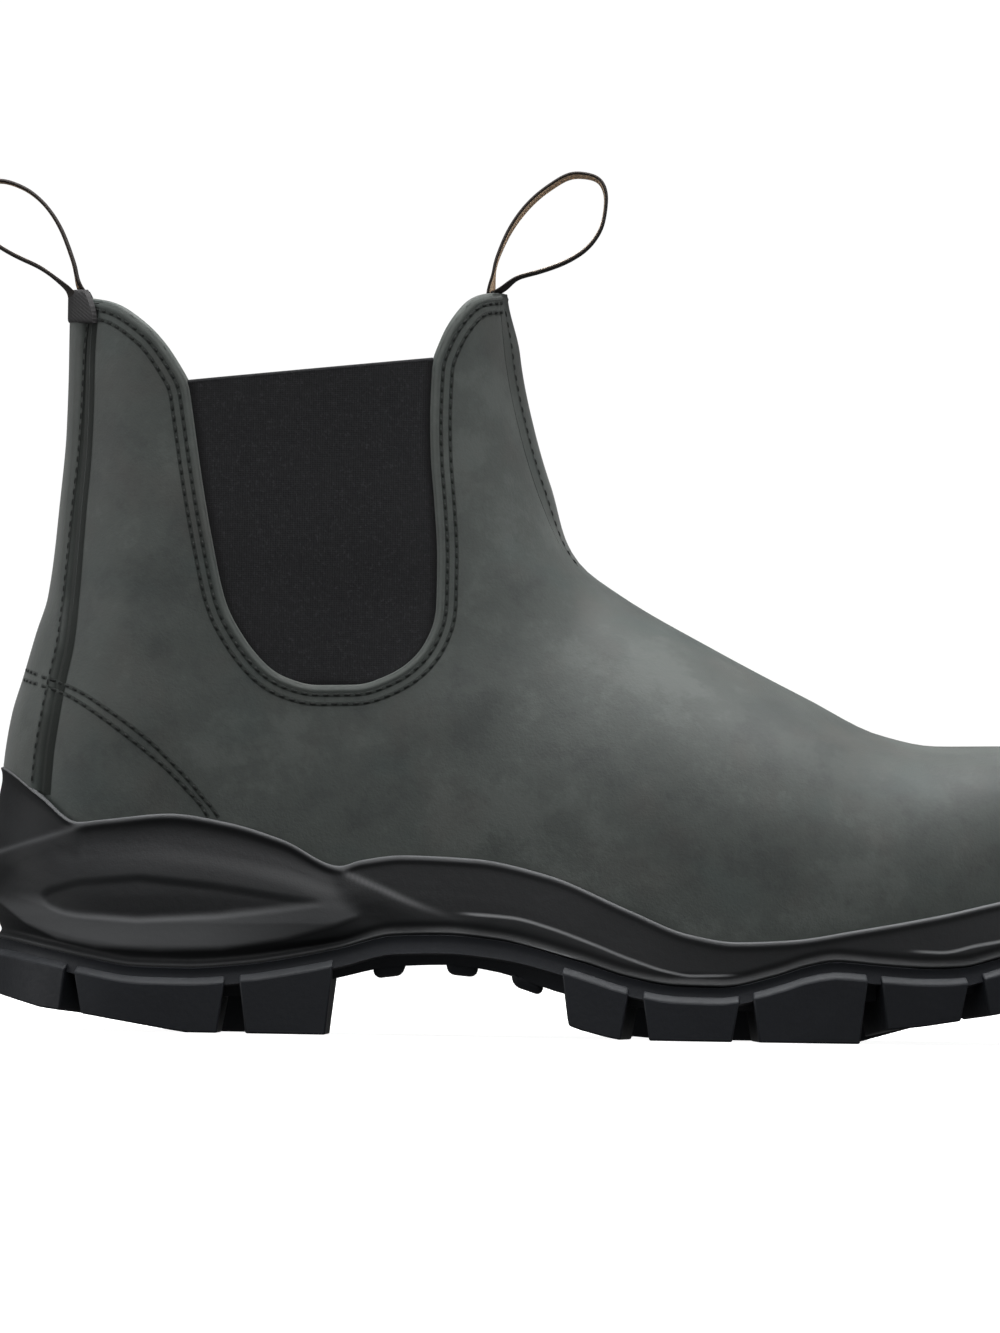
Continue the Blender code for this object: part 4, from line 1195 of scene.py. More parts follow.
class BOOT_OT_upper(bpy.types.Operator):
    """Leather upper: the rings of the last on a fine grid, with the cut for the elastic"""

    bl_idname = "boot.upper"
    bl_label = "Leather upper"

    def execute(self, context):
        sizes = context.scene.boot_sizes
        outside = upper_rings(UPPER_ROWS, spread(sizes.columns + 1))
        inside = outside - sizes.wall * grid_normals(outside)
        inside[0, :, 2] = outside[0, :, 2]
        inside[-1, :, 2] = outside[-1, :, 2]
        rings = np.concatenate([outside, inside[::-1]])
        rows, columns = rings.shape[:2]
        faces = grid_faces(rows, columns, wrap_rows=True, wrap_columns=True)
        within = np.arange(rows) >= rows // 2
        within[-1] = False
        made = to_mesh(
            "upper_leather", rings, faces.tolist(), [leather_finish(), lining_finish()],
            np.repeat(within, columns),
        )
        line = opening_line()
        behind, above = -LAST_LENGTH / 20, COLLAR_HEIGHT * 1.15
        corners = [(line[-1, 0], above), (behind, above)]
        outline = np.array([(behind, line[0, 1]), *line, *corners])
        count = len(outline)
        sides = np.concatenate([
            np.stack([outline[:, 0], np.full(count, y), outline[:, 1]], 1)
            for y in (-COLLAR_WIDTH, COLLAR_WIDTH)
        ])
        j = np.arange(count)
        k = (j + 1) % count
        walls = np.stack([j, k, k + count, j + count], 1).tolist()
        caps = [list(range(count))[::-1], list(range(count, 2 * count))]
        cutter = to_mesh("opening_cutter", sides, [*walls, *caps], [leather_finish()])
        face_outwards(cutter)
        modifier = made.modifiers.new("opening", "BOOLEAN")
        modifier.operation = "DIFFERENCE"
        modifier.solver = "EXACT"
        modifier.object = cutter
        apply_modifiers(made)
        bpy.data.objects.remove(cutter, do_unlink=True)
        dress(made, "leather", "upper")
        self.edges(sizes)
        return {"FINISHED"}

    def edges(self, sizes):
        """Folded edge: one closed roll round the opening of both sides and over both tabs."""
        profile = rounded_edge(sizes.wall, sizes.edge)
        line = rim_line(400)
        near_back = 1 - ease(line[:, 0], *BACK_REACH)
        near_front = ease(line[:, 0], *FRONT_REACH)
        sides = []
        for side in (-1, 1):
            columns = []
            for distance, height, _ in profile:
                moved = offset_line(line, -distance)
                x = moved[:, 0] + near_back * (back_x(moved[:, 1]) - back_x(line[:, 1]))
                x += near_front * (front_x(moved[:, 1]) - front_x(line[:, 1]))
                x = np.clip(x, back_x(moved[:, 1]), front_x(moved[:, 1]))
                x[0], x[-1] = back_x(moved[0, 1]), front_x(moved[-1, 1])
                columns.append(on_last(x, moved[:, 1], side, np.full(len(line), -height))[0])
            sides.append(np.stack(columns, 1))
        loop = np.concatenate([sides[0], sides[1][-2:0:-1]])
        faces = grid_faces(*loop.shape[:2], wrap_rows=True, wrap_columns=True).tolist()
        # How much lighter each point of the profile is coloured.
        rubbed = np.broadcast_to(profile[:, 2], loop.shape[:2])
        made = to_mesh("folded_edge", loop, faces, [leather_finish()], angle=60, light=rubbed)
        face_outwards(made)
        dress(made, "leather")


# The elastic: its width, how far it lies under the leather's face, the reach of the painted shadow
# along its edges, and the hem's radii.
GORE_WIDTH = 60 * MM
GORE_INSET = 0.7 * MM
GORE_SHADOW_REACH = (0.2 * MM, 2.6 * MM)
HEM_RADII = (0.70 * MM, 0.75 * MM)


class BOOT_OT_elastic(bpy.types.Operator):
    """Elastic gores: sheets between the cut's two edges, set back from the leather's face"""

    bl_idname = "boot.elastic"
    bl_label = "Elastic gores"

    def execute(self, context):
        sizes = context.scene.boot_sizes
        rear = side_view(GORE_REAR, 90)[::-1]
        front = side_view(GORE_FRONT, 90)[::-1]
        across = np.linspace(0, 1, 50)[None, :, None]
        sheet = rear[:, None] * (1 - across) + front[:, None] * across
        x, z = sheet[..., 0], sheet[..., 1]
        for side, node in ((-1, "gore_outer"), (1, "gore_inner")):
            depth = np.full(x.shape, GORE_INSET)
            face = on_last(x, z, side, depth)[0]
            lining = on_last(x, z, side, depth + sizes.elastic)[0]
            points, faces = slab(face, lining)
            near = np.minimum(across[..., 0], 1 - across[..., 0]) * GORE_WIDTH
            near = np.minimum(np.broadcast_to(near, x.shape), z - z.min())
            # Painted shadow along the elastic's sides and foot, where the leather's edge stands over
            # it.
            shade = 1 - ease(near, *GORE_SHADOW_REACH)
            made = to_mesh(
                node + "_knit", points, faces, [elastic_finish()],
                uv=np.stack([x, z], -1), dark=shade,
            )
            face_outwards(made)
            dress(made, "elastic", node)
            self.hem(rear[-1], front[-1], side, node, sizes)
        return {"FINISHED"}

    def hem(self, rear, front, side, node, sizes):
        """Turned hem along the elastic's top: an ellipse carried along the sheet's upper edge."""
        share = np.linspace(0, 1, 60)[:, None]
        line = rear * (1 - share) + front * share
        inset = np.full(len(line), GORE_INSET + sizes.elastic / 2)
        path, normal = on_last(line[:, 0], line[:, 1], side, inset)
        along = np.gradient(path, axis=0)
        up = unit(np.cross(normal, along))
        ring, faces = tube_along(path, normal, up, *HEM_RADII)
        uv = np.broadcast_to(line[:, None], (len(line), ring.shape[1], 2))
        made = to_mesh(node + "_hem", ring, faces, [elastic_finish()], uv=uv, angle=60)
        face_outwards(made)
        dress(made, "elastic")


# Stitches


# Rows along a strip: how far they lie inside its edge at the foot and at the top, in millimetres,
# and the heights where they start and end, as shares of the collar's.
BACK_STRIP_ROW = (2.0, 1.0, 0.33, 0.95)
FRONT_STRIP_ROW = (1.0, 1.0, 0.635, 0.980)
BACK_STRIP_GROOVE = (-0.8, -0.8, 0.315, 0.978)
# Pressed lines: half of their width, and how dark they are, painted shade of their trough; in the
# back strip's groove it is in part edge dye.
SEAM_LINE = (0.52 * MM, 0.62)
GROOVE_STRIPE = (1.15 * MM, 1.0)
LINE_RISE = 0.06 * MM
# The form of the strips' edges: width and power of the shoulder, and the fall towards the top.
FRONT_SHOULDER = (2.4 * MM, 1.0, 14 * MM)
BACK_SHOULDER = (1.3 * MM, 0.5, 3 * MM)
FRONT_FOOT = 16 * MM
STRIP_LIFT = 0.05 * MM


def stitch_shape():
    """One stitch as a capsule of unit length: rings of eight points that shrink and dip into the
    leather at both ends. The last column of the stations is the dip."""
    stations = np.array([
        (-0.5, 0.3, -0.9), (-0.42, 0.85, -0.35), (-0.2, 1.0, 0.0), (0.2, 1.0, 0.0),
        (0.42, 0.85, -0.35), (0.5, 0.3, -0.9),
    ])
    turn = np.linspace(0, 2 * np.pi, 8, endpoint=False)
    rings = np.stack([
        np.broadcast_to(stations[:, :1], (6, 8)),
        stations[:, 1:2] * np.cos(turn),
        stations[:, 1:2] * 0.8 * np.sin(turn) + stations[:, 2:],
    ], -1)
    faces = grid_faces(6, 8, wrap_columns=True).tolist()
    return rings.reshape(-1, 3), [*faces, list(range(8))[::-1], list(range(40, 48))]


def stitches(places, ahead, normal, length, width):
    """Copies of one stitch at places: place + along * ahead + across * side + up * normal."""
    shape, faces = stitch_shape()
    ahead = unit(ahead)
    side = unit(np.cross(normal, ahead))
    out = (
        places[:, None]
        + length * shape[None, :, :1] * ahead[:, None]
        + width / 2 * shape[None, :, 1:2] * side[:, None]
        + width / 2 * shape[None, :, 2:] * normal[:, None]
    )
    count = len(shape)
    joined = [[k + i * count for k in face] for i in range(len(places)) for face in faces]
    return out.reshape(-1, 3), joined


def spaced(path, pitch):
    """Places at one pitch along a path, and the way ahead at each."""
    reach = reach_of(path)
    count = max(2, int(reach[-1] / pitch))
    shares = (np.arange(count) + 0.5) / count
    step = 0.5 * pitch / reach[-1]
    return resample(path, shares), resample(path, np.clip(shares + step, 0, 1)) - resample(
        path, np.clip(shares - step, 0, 1)
    )


def strip_depth(table, z, front):
    """How far a strip reaches in from the back or front line in side view."""
    edge = LAST_LENGTH * table_track(table)(z / COLLAR_HEIGHT)
    return edge if front else edge - back_x(z)


def strip_height(z, gap, front, sizes):
    """Height of a strip's face over the leather at a distance in from its edge: flat over the
    groove, then up a rounded shoulder, and down again towards its top and the front one's foot."""
    table, groove = (FRONT_STRIP, -0.3 * MM) if front else (BACK_STRIP, sizes.groove)
    shoulder, power, fall = FRONT_SHOULDER if front else BACK_SHOULDER
    low, high = COLLAR_HEIGHT * table[0][0], COLLAR_HEIGHT * table[-1][0]
    lift = (STRIP_GAP + sizes.strip) * ease(gap, groove, groove + shoulder) ** power
    lift = lift * ease(high - z, -0.6 * MM, fall)
    if front:
        lift = lift * ease(z, low, low + FRONT_FOOT)
    return STRIP_LIFT + lift


def seam_on_face(x, z, side, sizes):
    """Path and face directions of a seam in side view, on the leather or on the strips over it."""
    low = COLLAR_HEIGHT * FRONT_STRIP[0][0]
    behind = back_x(z) + strip_depth(BACK_STRIP, z, False) - x
    ahead = x - front_x(z) + strip_depth(FRONT_STRIP, z, True)
    ahead = np.where(z > low, ahead, -1.0)
    lift = np.maximum(strip_height(z, behind, False, sizes), strip_height(z, ahead, True, sizes))
    return on_last(x, z, side, -lift)


def on_both_sides(rows, sizes):
    return [seam_on_face(row[:, 0], row[:, 1], side, sizes) for row in rows for side in (-1, 1)]


class BOOT_OT_stitches(bpy.types.Operator):
    """Stitches: rows of thread capsules along the seams"""

    bl_idname = "boot.stitches"
    bl_label = "Stitches"

    def execute(self, context):
        sizes = context.scene.boot_sizes
        line = rim_line(420)
        rows = []
        for distance in (sizes.first_row, sizes.second_row):
            row = offset_line(line, -distance)
            keep = row[:, 0] > back_x(row[:, 1]) + strip_depth(BACK_STRIP, row[:, 1], False)
            keep &= row[:, 0] < front_x(row[:, 1]) - 1.2 * MM
            rows.append(row[keep])
        rows += [line_through(np.array(table) * MM, 90) for table in COUNTER_SEAMS]
        rows.append(self.strip_row(False, *BACK_STRIP_ROW))
        rows.append(self.strip_row(True, *FRONT_STRIP_ROW))
        for row in CROSS_ROWS:
            row = line_through(np.array(row) * MM, 30)
            rows.append(row[row[:, 0] > back_x(row[:, 1]) + 0.2 * MM])
        seams = on_both_sides(rows, sizes)
        self.thread(seams, sizes)
        self.channels("seam_lines", seams, *SEAM_LINE)
        groove = on_both_sides([self.strip_row(False, *BACK_STRIP_GROOVE)], sizes)
        self.channels("strip_groove", groove, *GROOVE_STRIPE)
        return {"FINISHED"}

    def strip_row(self, front, inside_low, inside_high, low, high):
        """Row of stitches a little inside a strip's edge, in side view."""
        z = COLLAR_HEIGHT * np.linspace(low, high, 160)
        table = FRONT_STRIP if front else BACK_STRIP
        depth = strip_depth(table, z, front) - np.linspace(inside_low, inside_high, 160) * MM
        return np.stack([front_x(z) - depth if front else back_x(z) + depth, z], 1)

    def thread(self, seams, sizes):
        parts = []
        for path, normal in seams:
            places, ahead = spaced(path, sizes.pitch)
            reach = reach_of(path)
            shares = (np.arange(len(places)) + 0.5) / len(places)
            up = resample_field(reach, normal, shares * reach[-1])
            parts.append(stitches(places, ahead, up, sizes.stitch, sizes.thread))
        thread = to_mesh("stitches", *joined(parts), [thread_finish()], angle=70)
        dress(thread, "leather")

    def channels(self, name, seams, width, dark):
        """Dark lines along the seams and the back strip's groove, painted shade of their pressed
        trough and
        in the groove in part edge dye: flat ellipses along seams.
        """
        parts = []
        for path, normal in seams:
            across = unit(np.cross(normal, np.gradient(path, axis=0)))
            parts.append(tube_along(path, across, normal, width, LINE_RISE, 6))
        made = to_mesh(name, *joined(parts), [leather_finish()], angle=60, dark=dark)
        face_outwards(made)
        dress(made, "leather")


def resample_field(reach, field, places):
    return unit(np.stack([np.interp(places, reach, field[:, k]) for k in range(field.shape[1])], 1))


# Strips


# Marks on the strips: the painted highlight on the middle of the front one, and of the back one the
# dark groove, in part edge dye and in part painted shadow, the painted highlight band beside its
# outline and the heights over which that band sets in.
FRONT_STRIP_LIGHT = 0.10
GROOVE_DARK = 0.85
STRIP_HIGHLIGHT_FROM = (1.8 * MM, 3.8 * MM)
STRIP_HIGHLIGHT_HEIGHT = (98 * MM, 125 * MM)


class BOOT_OT_strips(bpy.types.Operator):
    """Strips over the back and front lines, with their edges rounded down"""

    bl_idname = "boot.strips"
    bl_label = "Strips"

    def execute(self, context):
        sizes = context.scene.boot_sizes
        self.strip("back_strip", False, BACK_STRIP, sizes)
        self.strip("front_strip", True, FRONT_STRIP, sizes)
        return {"FINISHED"}

    def strip(self, node, front, table, sizes):
        """A strip's face stands off the last by its height, and its back lies in the leather."""
        across, side = across_the_line(71)
        foot = np.full(len(across), COLLAR_HEIGHT * table[0][0])
        if not front:
            for _ in range(SETTLING):
                x = round_the_end(foot, strip_depth(table, foot, front), across, front)
                foot = rim_z(x) + CLEARANCE
        top = COLLAR_HEIGHT * table[-1][0]
        z = foot + (top - foot) * np.linspace(0, 1, 160)[:, None]
        depth = strip_depth(table, z, front)
        x = round_the_end(z, depth, across, front)
        gap = depth * (1 - np.abs(across) ** CLOSING)
        face = on_last(x, z, side, -strip_height(z, gap, front, sizes))[0]
        back = on_last(x, z, side, np.full(z.shape[:1] + across.shape, 0.25 * MM))[0]
        points, faces = slab(face, back)
        # Painted highlight on the front strip's raised middle; on the back strip a dark groove, in
        # part edge dye and in part painted shadow, and a painted highlight band beside its outline.
        if front:
            dark, light = 0.0, FRONT_STRIP_LIGHT * ease(gap, 0, 2 * MM)
        else:
            dark = GROOVE_DARK * (1 - ease(gap, sizes.groove - 0.2 * MM, sizes.groove + 0.7 * MM))
            light = ease(gap, *STRIP_HIGHLIGHT_FROM) * ease(z, *STRIP_HIGHLIGHT_HEIGHT)
        made = to_mesh(
            node + "_leather", points, faces, [leather_finish()], angle=60, dark=dark, light=light
        )
        face_outwards(made)
        dress(made, "leather", node)


# Pull loops


# The back loop's folded end: where it starts and how tall it is, as shares of the collar's height,
# and how far it reaches in from the back line at its foot and how much less at its top.
LOOP_FOOT_AT = 0.951
LOOP_FOOT_TALL = 0.045
LOOP_FOOT_DEPTH = 5.6
LOOP_FOOT_NARROWER = 2.4
# The share of the strip's thickness that lies under the folded end.
FOLDED = 0.6
# How far over the rim the webbing's bow round the shaft has died out.
BOW_FADE = 7 * MM
# How far the back loop leans out at the rim where it rises and where it falls, and how far it is up.
LEAN_RISING = 3.4 * MM
LEAN_FALLING = 1.8 * MM
LEAN_UP = 2.6 * MM
# The front loop's twist, as a slope over its width.
TWIST = -0.042


class BOOT_OT_loops(bpy.types.Operator):
    """Pull loops: a band of webbing carried along a path in side view, dark outside and tan inside"""

    bl_idname = "boot.loops"
    bl_label = "Pull loops"

    def execute(self, context):
        sizes = context.scene.boot_sizes
        self.loop("pull_loop_front", True, FRONT_LOOP, sizes)
        self.loop("pull_loop_back", False, BACK_LOOP, sizes)
        self.foot(sizes)
        return {"FINISHED"}

    def foot(self, sizes):
        """The back loop's end, folded round the top of the back strip: a plate that stands off the
        strip, and narrows to its upper end."""
        across, side = across_the_line(41)
        share = np.linspace(0, 1, 30)[:, None]
        z = COLLAR_HEIGHT * (LOOP_FOOT_AT + LOOP_FOOT_TALL * share) + 0 * across
        depth = (LOOP_FOOT_DEPTH - LOOP_FOOT_NARROWER * share ** 2) * MM
        x = back_x(z) + depth * np.abs(across) ** CLOSING
        ends = np.sqrt(np.clip(1 - (2 * share - 1) ** 10, 0.05, 1))
        thick = sizes.webbing * ends * (1 - 0.5 * np.abs(across) ** 8)
        lift = STRIP_GAP + sizes.strip * FOLDED + thick
        face = on_last(x, z, side, -lift)[0]
        back = on_last(x, z, side, -np.full(z.shape, 0.3 * MM))[0]
        points, faces = slab(face, back)
        made = to_mesh(
            "loop_foot", points, faces, [webbing_foot_finish()], uv=np.stack([x, z], -1)
        )
        face_outwards(made)
        dress(made, "webbing")

    def loop(self, node, front, table, sizes):
        way = 1 if front else -1
        rim = COLLAR_HEIGHT * (1.0 if front else BACK_TAB[0][1])
        edge = front_x(rim) if front else back_x(rim)
        inside = edge - way * (sizes.wall + LOOP_GAP + sizes.webbing / 2)
        leg = [(inside, rim - LOOP_LEG * share) for share in (1, 0.75, 0.5, 0.25)]
        body = [(inside + way * LOOP_HEIGHT * a, rim + CLEARANCE + LOOP_HEIGHT * b) for a, b in table]
        if not front:
            body = [self.leaned(k < len(body) / 2, x, z, rim) for k, (x, z) in enumerate(body)]
        outside = [(inside + sizes.webbing, rim + CLEARANCE)] if front else []
        if not front:
            stand = STRIP_GAP + sizes.strip * FOLDED + sizes.webbing * 0.4
            for share in (-0.1, 0.1, 0.3, 0.5):
                z = rim - LOOP_LEG * share
                outside.append((back_x(z) - stand, z))
        path = smooth_line(line_through([*leg, *body, *outside], 300), 3 * MM, 170)
        ahead = unit(np.gradient(path, axis=0))
        across = np.linspace(-0.5, 0.5, 25) * sizes.webbing_width
        thin = np.sqrt(np.maximum(1 - (np.abs(across) / (sizes.webbing_width / 2)) ** 8, 0.02))
        bows = np.array([rim_bow(min(z, rim), across, front) for z in path[:, 1]])
        fade = 1 - ease(path[:, 1] - rim, 0, BOW_FADE)
        tilt = self.tilt(path, across) if front else 0.0
        grids = []
        for offset in (sizes.webbing / 2, -sizes.webbing / 2):
            shift = offset * thin + tilt
            x = path[:, :1] - shift * ahead[:, 1:] - way * bows * fade[:, None]
            z = path[:, 1:] + shift * ahead[:, :1]
            y = np.broadcast_to(across, x.shape)
            grids.append(np.stack([x, y, z], -1))
        points, faces = slab(*grids)
        reach = reach_of(path)
        run = np.stack(np.broadcast_arrays(across[None, :], reach[:, None]), -1)
        quads = (len(path) - 1) * (len(across) - 1)
        slots = np.zeros(len(faces), np.int32)
        tan = slice(quads, 2 * quads) if front else slice(quads)
        slots[tan] = 1
        lane = np.arange(2 * quads) % (len(across) - 1)
        dim = 1 if front else 2
        slots[:2 * quads][(lane < dim) | (lane > len(across) - 2 - dim)] = 0
        made = to_mesh(
            node + "_webbing", points, faces, [webbing_out_finish(), webbing_in_finish()], slots, run
        )
        face_outwards(made)
        dress(made, "webbing", node)

    def leaned(self, rising, x, z, rim):
        """A point of the back loop, which leans back over the rim and stands on its end there."""
        near = 1 - ease(z - rim, 0, 0.7 * LOOP_HEIGHT)
        return x - (LEAN_RISING if rising else LEAN_FALLING) * near, z + LEAN_UP * near

    def tilt(self, path, across):
        """Twist of the loop's first half, which turns its inner face a little to the outer side."""
        share = np.linspace(0, 1, len(path))
        twist = ease(share, 0.10, 0.34) * (1 - ease(share, 0.46, 0.62))
        return TWIST * twist[:, None] * across[None, :]


# Sole


def side_height(table, x, k=1):
    """Height of a relief line at a station, both in metres."""
    return MM * np.interp(x / MM, column(table, 0), column(table, k))


def within(table, x, z, soft_top, soft_low):
    """1 inside a leaf shaped outline in side view and 0 outside it, over soft edges."""
    above = ease(side_height(table, x, 1) - z, -soft_top, soft_top)
    below = ease(z - side_height(table, x, 2), -soft_low, soft_low)
    ends = np.minimum(x - table[0][0] * MM, table[-1][0] * MM - x)
    return above * below * ease(ends, -soft_low, soft_low)


def rib_gap(rib, x, z):
    """Depth below a rib's line, and how much of the rib there is at a station."""
    first, last = rib[0][0] * MM, rib[-1][0] * MM
    span = ease(x, first - 2 * MM, first + 5 * MM) * (1 - ease(x, last - 6 * MM, last + 2 * MM))
    return MM * track(column(rib, 0), column(rib, 1))(x / MM) - z, span


def pod_gaps(x, z):
    """Depth below the pod's upper edge behind and in front of the rim, and its span."""
    on_tail = ease(x, 83 * MM, 87 * MM) * (1 - ease(x, 98 * MM, 118 * MM))
    heel = MM * track(column(POD_HEEL, 0), column(POD_HEEL, 1))(x / MM)
    tail = MM * track(column(POD_TAIL, 0), column(POD_TAIL, 1))(x / MM)
    return (heel - z, 1 - ease(x, 19 * MM, 22 * MM)), (tail - z, on_tail)


def bell(gap, width):
    return np.exp(-((gap / width) ** 2))


# How far the midsole's forms stand out from its side or are sunk in it.
LEAF_STAND = 0.45 * MM
LENS_DEPTH = 0.65 * MM
POD_LIP = 1.0 * MM
RIB_STEP = 0.8 * MM
RIB_FALL = 0.5 * MM
BAND_BEAD = 0.35 * MM
BAND_GROOVE = 0.50 * MM
RIM_BEAD = 0.40 * MM
REAR_SWELL = 1.5 * MM
REAR_SWELL_HEIGHT = 59.5 * MM
# How much painted highlight they get: a lighter colour where the beads, lips and edges would catch
# the light.
RIM_LIGHT = 0.35
CROWN_LIGHT = 0.75
POD_LIGHT = 0.19
RIB_LIGHT = 0.50
BAND_LIGHT = 0.26
FORE_LIGHT = 0.085


def midsole_relief(x, z, up):
    """How far the side stands out: the leaf's band, the lens sunk in it, the lip of the pod, the
    ribs as steps under their lines, a groove and a bead above the band, and a bead at the rim."""
    out = LEAF_STAND * within(LEAF, x, z, 2.6 * MM, 0.8 * MM)
    out -= LENS_DEPTH * within(LENS, x, z, 1.3 * MM, 1.3 * MM)
    for gap, span in pod_gaps(x, z):
        out += span * POD_LIP * (ease(gap, -0.9 * MM, 1.1 * MM) - ease(gap, 2 * MM, 10 * MM))
    for rib in RIBS:
        gap, span = rib_gap(rib, x, z)
        step = RIB_STEP * ease(gap, -0.5 * MM, 0.5 * MM)
        out += span * (step - RIB_FALL * ease(gap, 0.8 * MM, 6 * MM))
    above = z - band_z(x)
    bead = BAND_BEAD * bell(above - 0.5 * MM, 0.5 * MM)
    out += bead - BAND_GROOVE * bell(above - 2.0 * MM, 0.9 * MM)
    under = rim_z(x) - z
    ahead = ease(x, -8 * MM, 4 * MM)
    out += (1 - ahead) * REAR_SWELL * bell(z - REAR_SWELL_HEIGHT, 5 * MM)
    return out + RIM_BEAD * ahead * bell(under - 0.7 * MM, 0.8 * MM) * ease(up, 0.4, 0.7)


def midsole_light(x, z, up):
    """How much painted light the side gets, from 0 to 1: painted highlights on the rim's bead, the
    pod's lip, the ribs' edges and the bead over the tread, a little painted light on the forefoot,
    and painted light from below on the leaf, whose lower half is the lighter one."""
    under = rim_z(x) - z
    light = RIM_LIGHT * bell(under, 0.55 * MM) * ease(up, 0.4, 0.7)
    for gap, span in pod_gaps(x, z):
        light = np.maximum(light, POD_LIGHT * span * bell(gap - 0.2 * MM, 0.9 * MM))
    for rib in RIBS:
        gap, span = rib_gap(rib, x, z)
        light = np.maximum(light, RIB_LIGHT * span * bell(gap, 0.40 * MM))
    light = np.maximum(light, BAND_LIGHT * bell(z - band_z(x) - 0.5 * MM, 0.32 * MM))
    light = np.maximum(light, FORE_LIGHT * ease(x, 90 * MM, 160 * MM))
    # Painted light from below on the leaf's lower half, standing in for light thrown up by the floor;
    # it fades towards the front.
    leaf = within(LEAF, x, z, 2.4 * MM, 0.7 * MM) - within(LENS, x, z, 0.9 * MM, 0.9 * MM)
    low = ease(33.5 * MM - z, -2 * MM, 4 * MM)
    shade = 0.57 * low + 0.40 * ease(29 * MM - z, 0, 7 * MM)
    shade = 0.015 + shade * (1 - 0.55 * ease(x, 42 * MM, 84 * MM))
    return np.maximum(light, np.clip(leaf, 0, 1) * shade)


def span_share(x, low, high, soft):
    """1 between two stations and 0 outside them, in shares of the last's length."""
    share = x / LAST_LENGTH
    return ease(share, low - soft, low + soft) * (1 - ease(share, high - soft, high + soft))


class BOOT_OT_midsole(bpy.types.Operator):
    """Midsole: the cup with its sculpted side on a fine grid"""

    bl_idname = "boot.midsole"
    bl_label = "Midsole"

    def execute(self, context):
        sizes = context.scene.boot_sizes
        shares = spread(sizes.sole_columns + 1)
        seat = ring_of(level_path(seat_z), shares)
        rim = ring_of(level_path(rim_z), shares)
        low = set_height(sole_outline(seat, LUG_STEP + BAND_STEP), band_z, -0.2 * MM)
        high = grow(rim, CUP_CLEARANCE + sizes.rim)
        steps = np.linspace(0, 1, 112)
        lean = table_track(WALL)(steps)
        bulge = table_track(WALL, 2)(steps)
        pod = POD_BULGE * span_share(low[:, 0], *POD_SPAN)
        rings, light = [], []
        for up, share, row in zip(steps, lean, bulge):
            ring = low + (high - low) * share
            ring[:, 2] = low[:, 2] + (high[:, 2] - low[:, 2]) * up
            fade = ease(up, 0.0, 0.03)
            out = pod * row + midsole_relief(ring[:, 0], ring[:, 2], up) * fade
            rings.append(grow(ring, out))
            light.append(midsole_light(ring[:, 0], ring[:, 2], up))
        crown = np.linspace(0, np.pi, 7)[1:]
        half = sizes.rim / 2
        for turn in crown:
            ring = grow(rim, CUP_CLEARANCE + half + half * math.cos(turn))
            ring[:, 2] += 0.45 * MM * math.sin(turn)
            rings.append(ring)
            # Painted highlight on the top and outer half of the rim's crown.
            light.append(np.full(len(ring), CROWN_LIGHT * (turn < 2)))
        for share in (0.75, 0.5, 0.25, 0.0):
            ring = ring_of(level_path(lambda x: seat_z(x) + (rim_z(x) - seat_z(x)) * share), shares)
            rings.append(grow(ring, CUP_CLEARANCE))
        rings[-1] = set_height(rings[-1], seat_z, -CLEARANCE)
        rings = np.array(rings)
        rows, count = rings.shape[:2]
        light = np.vstack([light, np.zeros((rows - len(light), count))])
        made = to_mesh(
            "midsole_rubber", rings, stack_faces(rings), [rubber_finish()], angle=50, light=light
        )
        dress(made, "midsole", "midsole")
        return {"FINISHED"}


